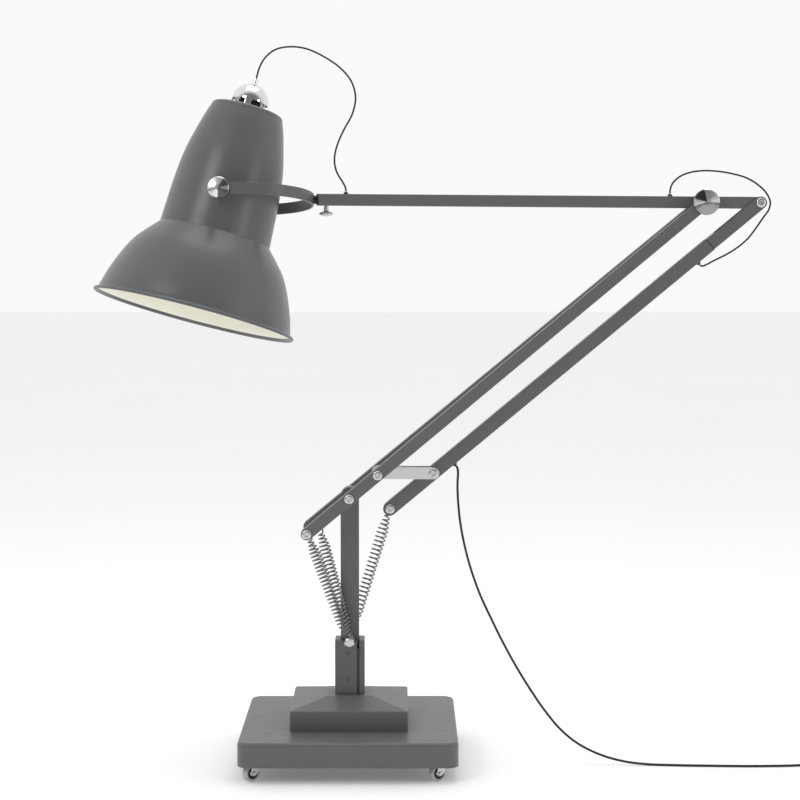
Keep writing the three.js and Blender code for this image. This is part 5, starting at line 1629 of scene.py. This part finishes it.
class LAMP_OT_stage(bpy.types.Operator):
    """The camera, a pale floor and soft studio lights"""

    bl_idname = "lamp.stage"
    bl_label = "Stage"

    def execute(self, context):
        self.camera(context)
        self.floor()
        self.lights(context)
        return {"FINISHED"}

    def camera(self, context):
        data = bpy.data.cameras.new("camera")
        data.lens = CAMERA_LENS
        data.sensor_width = 36
        data.clip_end = 60
        camera = bpy.data.objects.new("camera", data)
        camera.location = BASE.point(*CAMERA_PLACE)
        camera.rotation_euler = (math.radians(90 - CAMERA_FALL), 0, 0)
        context.scene.collection.objects.link(camera)
        context.scene.camera = camera

    def floor(self):
        glow = dict(Emission_Color=(1, 1, 1, 1), Emission_Strength=0.16)
        shader = Shader("studio_floor", Roughness=0.9, Specular_IOR_Level=0.1, **glow)
        tone = shader.mix(shader.noise(0.7, 2.0), (0.9, 0.9, 0.9, 1), (0.93, 0.93, 0.93, 1))
        shader.feed("Base Color", tone)
        shape = bmesh.new()
        bmesh.ops.create_grid(shape, x_segments=12, y_segments=12, size=30)
        mesh = bpy.data.meshes.new("floor")
        shape.to_mesh(mesh)
        shape.free()
        mesh.materials.append(shader.material)
        floor = bpy.data.objects.new("floor", mesh)
        bpy.context.scene.collection.objects.link(floor)

    def lights(self, context):
        for name, place, target, size, power in SOFTBOXES:
            data = bpy.data.lights.new(name, "AREA")
            data.shape = "SQUARE"
            data.size = size
            data.energy = power
            light = bpy.data.objects.new(name, data)
            light.location = place
            light.rotation_euler = (Vector(target) - Vector(place)).to_track_quat("-Z", "Y").to_euler()
            context.scene.collection.objects.link(light)
        backdrop = Backdrop("studio")
        behind = backdrop.place.dot((0, 1, 0.45)).between(-0.45, 0.2)
        backdrop.feed("Color", backdrop.mix(behind, (0.2, 0.205, 0.21, 1), (0.95, 0.955, 0.96, 1)))
        context.scene.world = backdrop.world
        context.scene.view_settings.view_transform = "Standard"


# ------------------------------------------------------------------ panel and run

OPERATORS = (
    LAMP_OT_stage, LAMP_OT_cords, LAMP_OT_base, LAMP_OT_castors, LAMP_OT_column, LAMP_OT_arms, LAMP_OT_screws,
    LAMP_OT_knobs, LAMP_OT_springs, LAMP_OT_stirrup, LAMP_OT_shade, LAMP_OT_cap, LAMP_OT_finishes,
)


class LAMP_PT_panel(bpy.types.Panel):
    """Lists the lamp's groups of parts, its colours and its sizes"""

    bl_idname = "LAMP_PT_panel"
    bl_label = "Balanced-arm lamp"
    bl_space_type = "VIEW_3D"
    bl_region_type = "UI"
    bl_category = "Lamp"

    def draw(self, context):
        for operator in OPERATORS:
            self.layout.operator(operator.bl_idname)
        for settings in (context.scene.lamp_colours, context.scene.lamp_sizes):
            for name in settings.__annotations__:
                self.layout.prop(settings, name)


CLASSES = (LampColours, LampSizes, *OPERATORS, LAMP_PT_panel)


def register():
    for entry in CLASSES:
        bpy.utils.register_class(entry)
    bpy.types.Scene.lamp_colours = PointerProperty(type=LampColours)
    bpy.types.Scene.lamp_sizes = PointerProperty(type=LampSizes)


def unregister():
    del bpy.types.Scene.lamp_sizes
    del bpy.types.Scene.lamp_colours
    for entry in reversed(CLASSES):
        bpy.utils.unregister_class(entry)


def main():
    register()
    for operator in OPERATORS:
        group, name = operator.bl_idname.split(".")
        getattr(getattr(bpy.ops, group), name)()


if __name__ == "__main__":
    main()
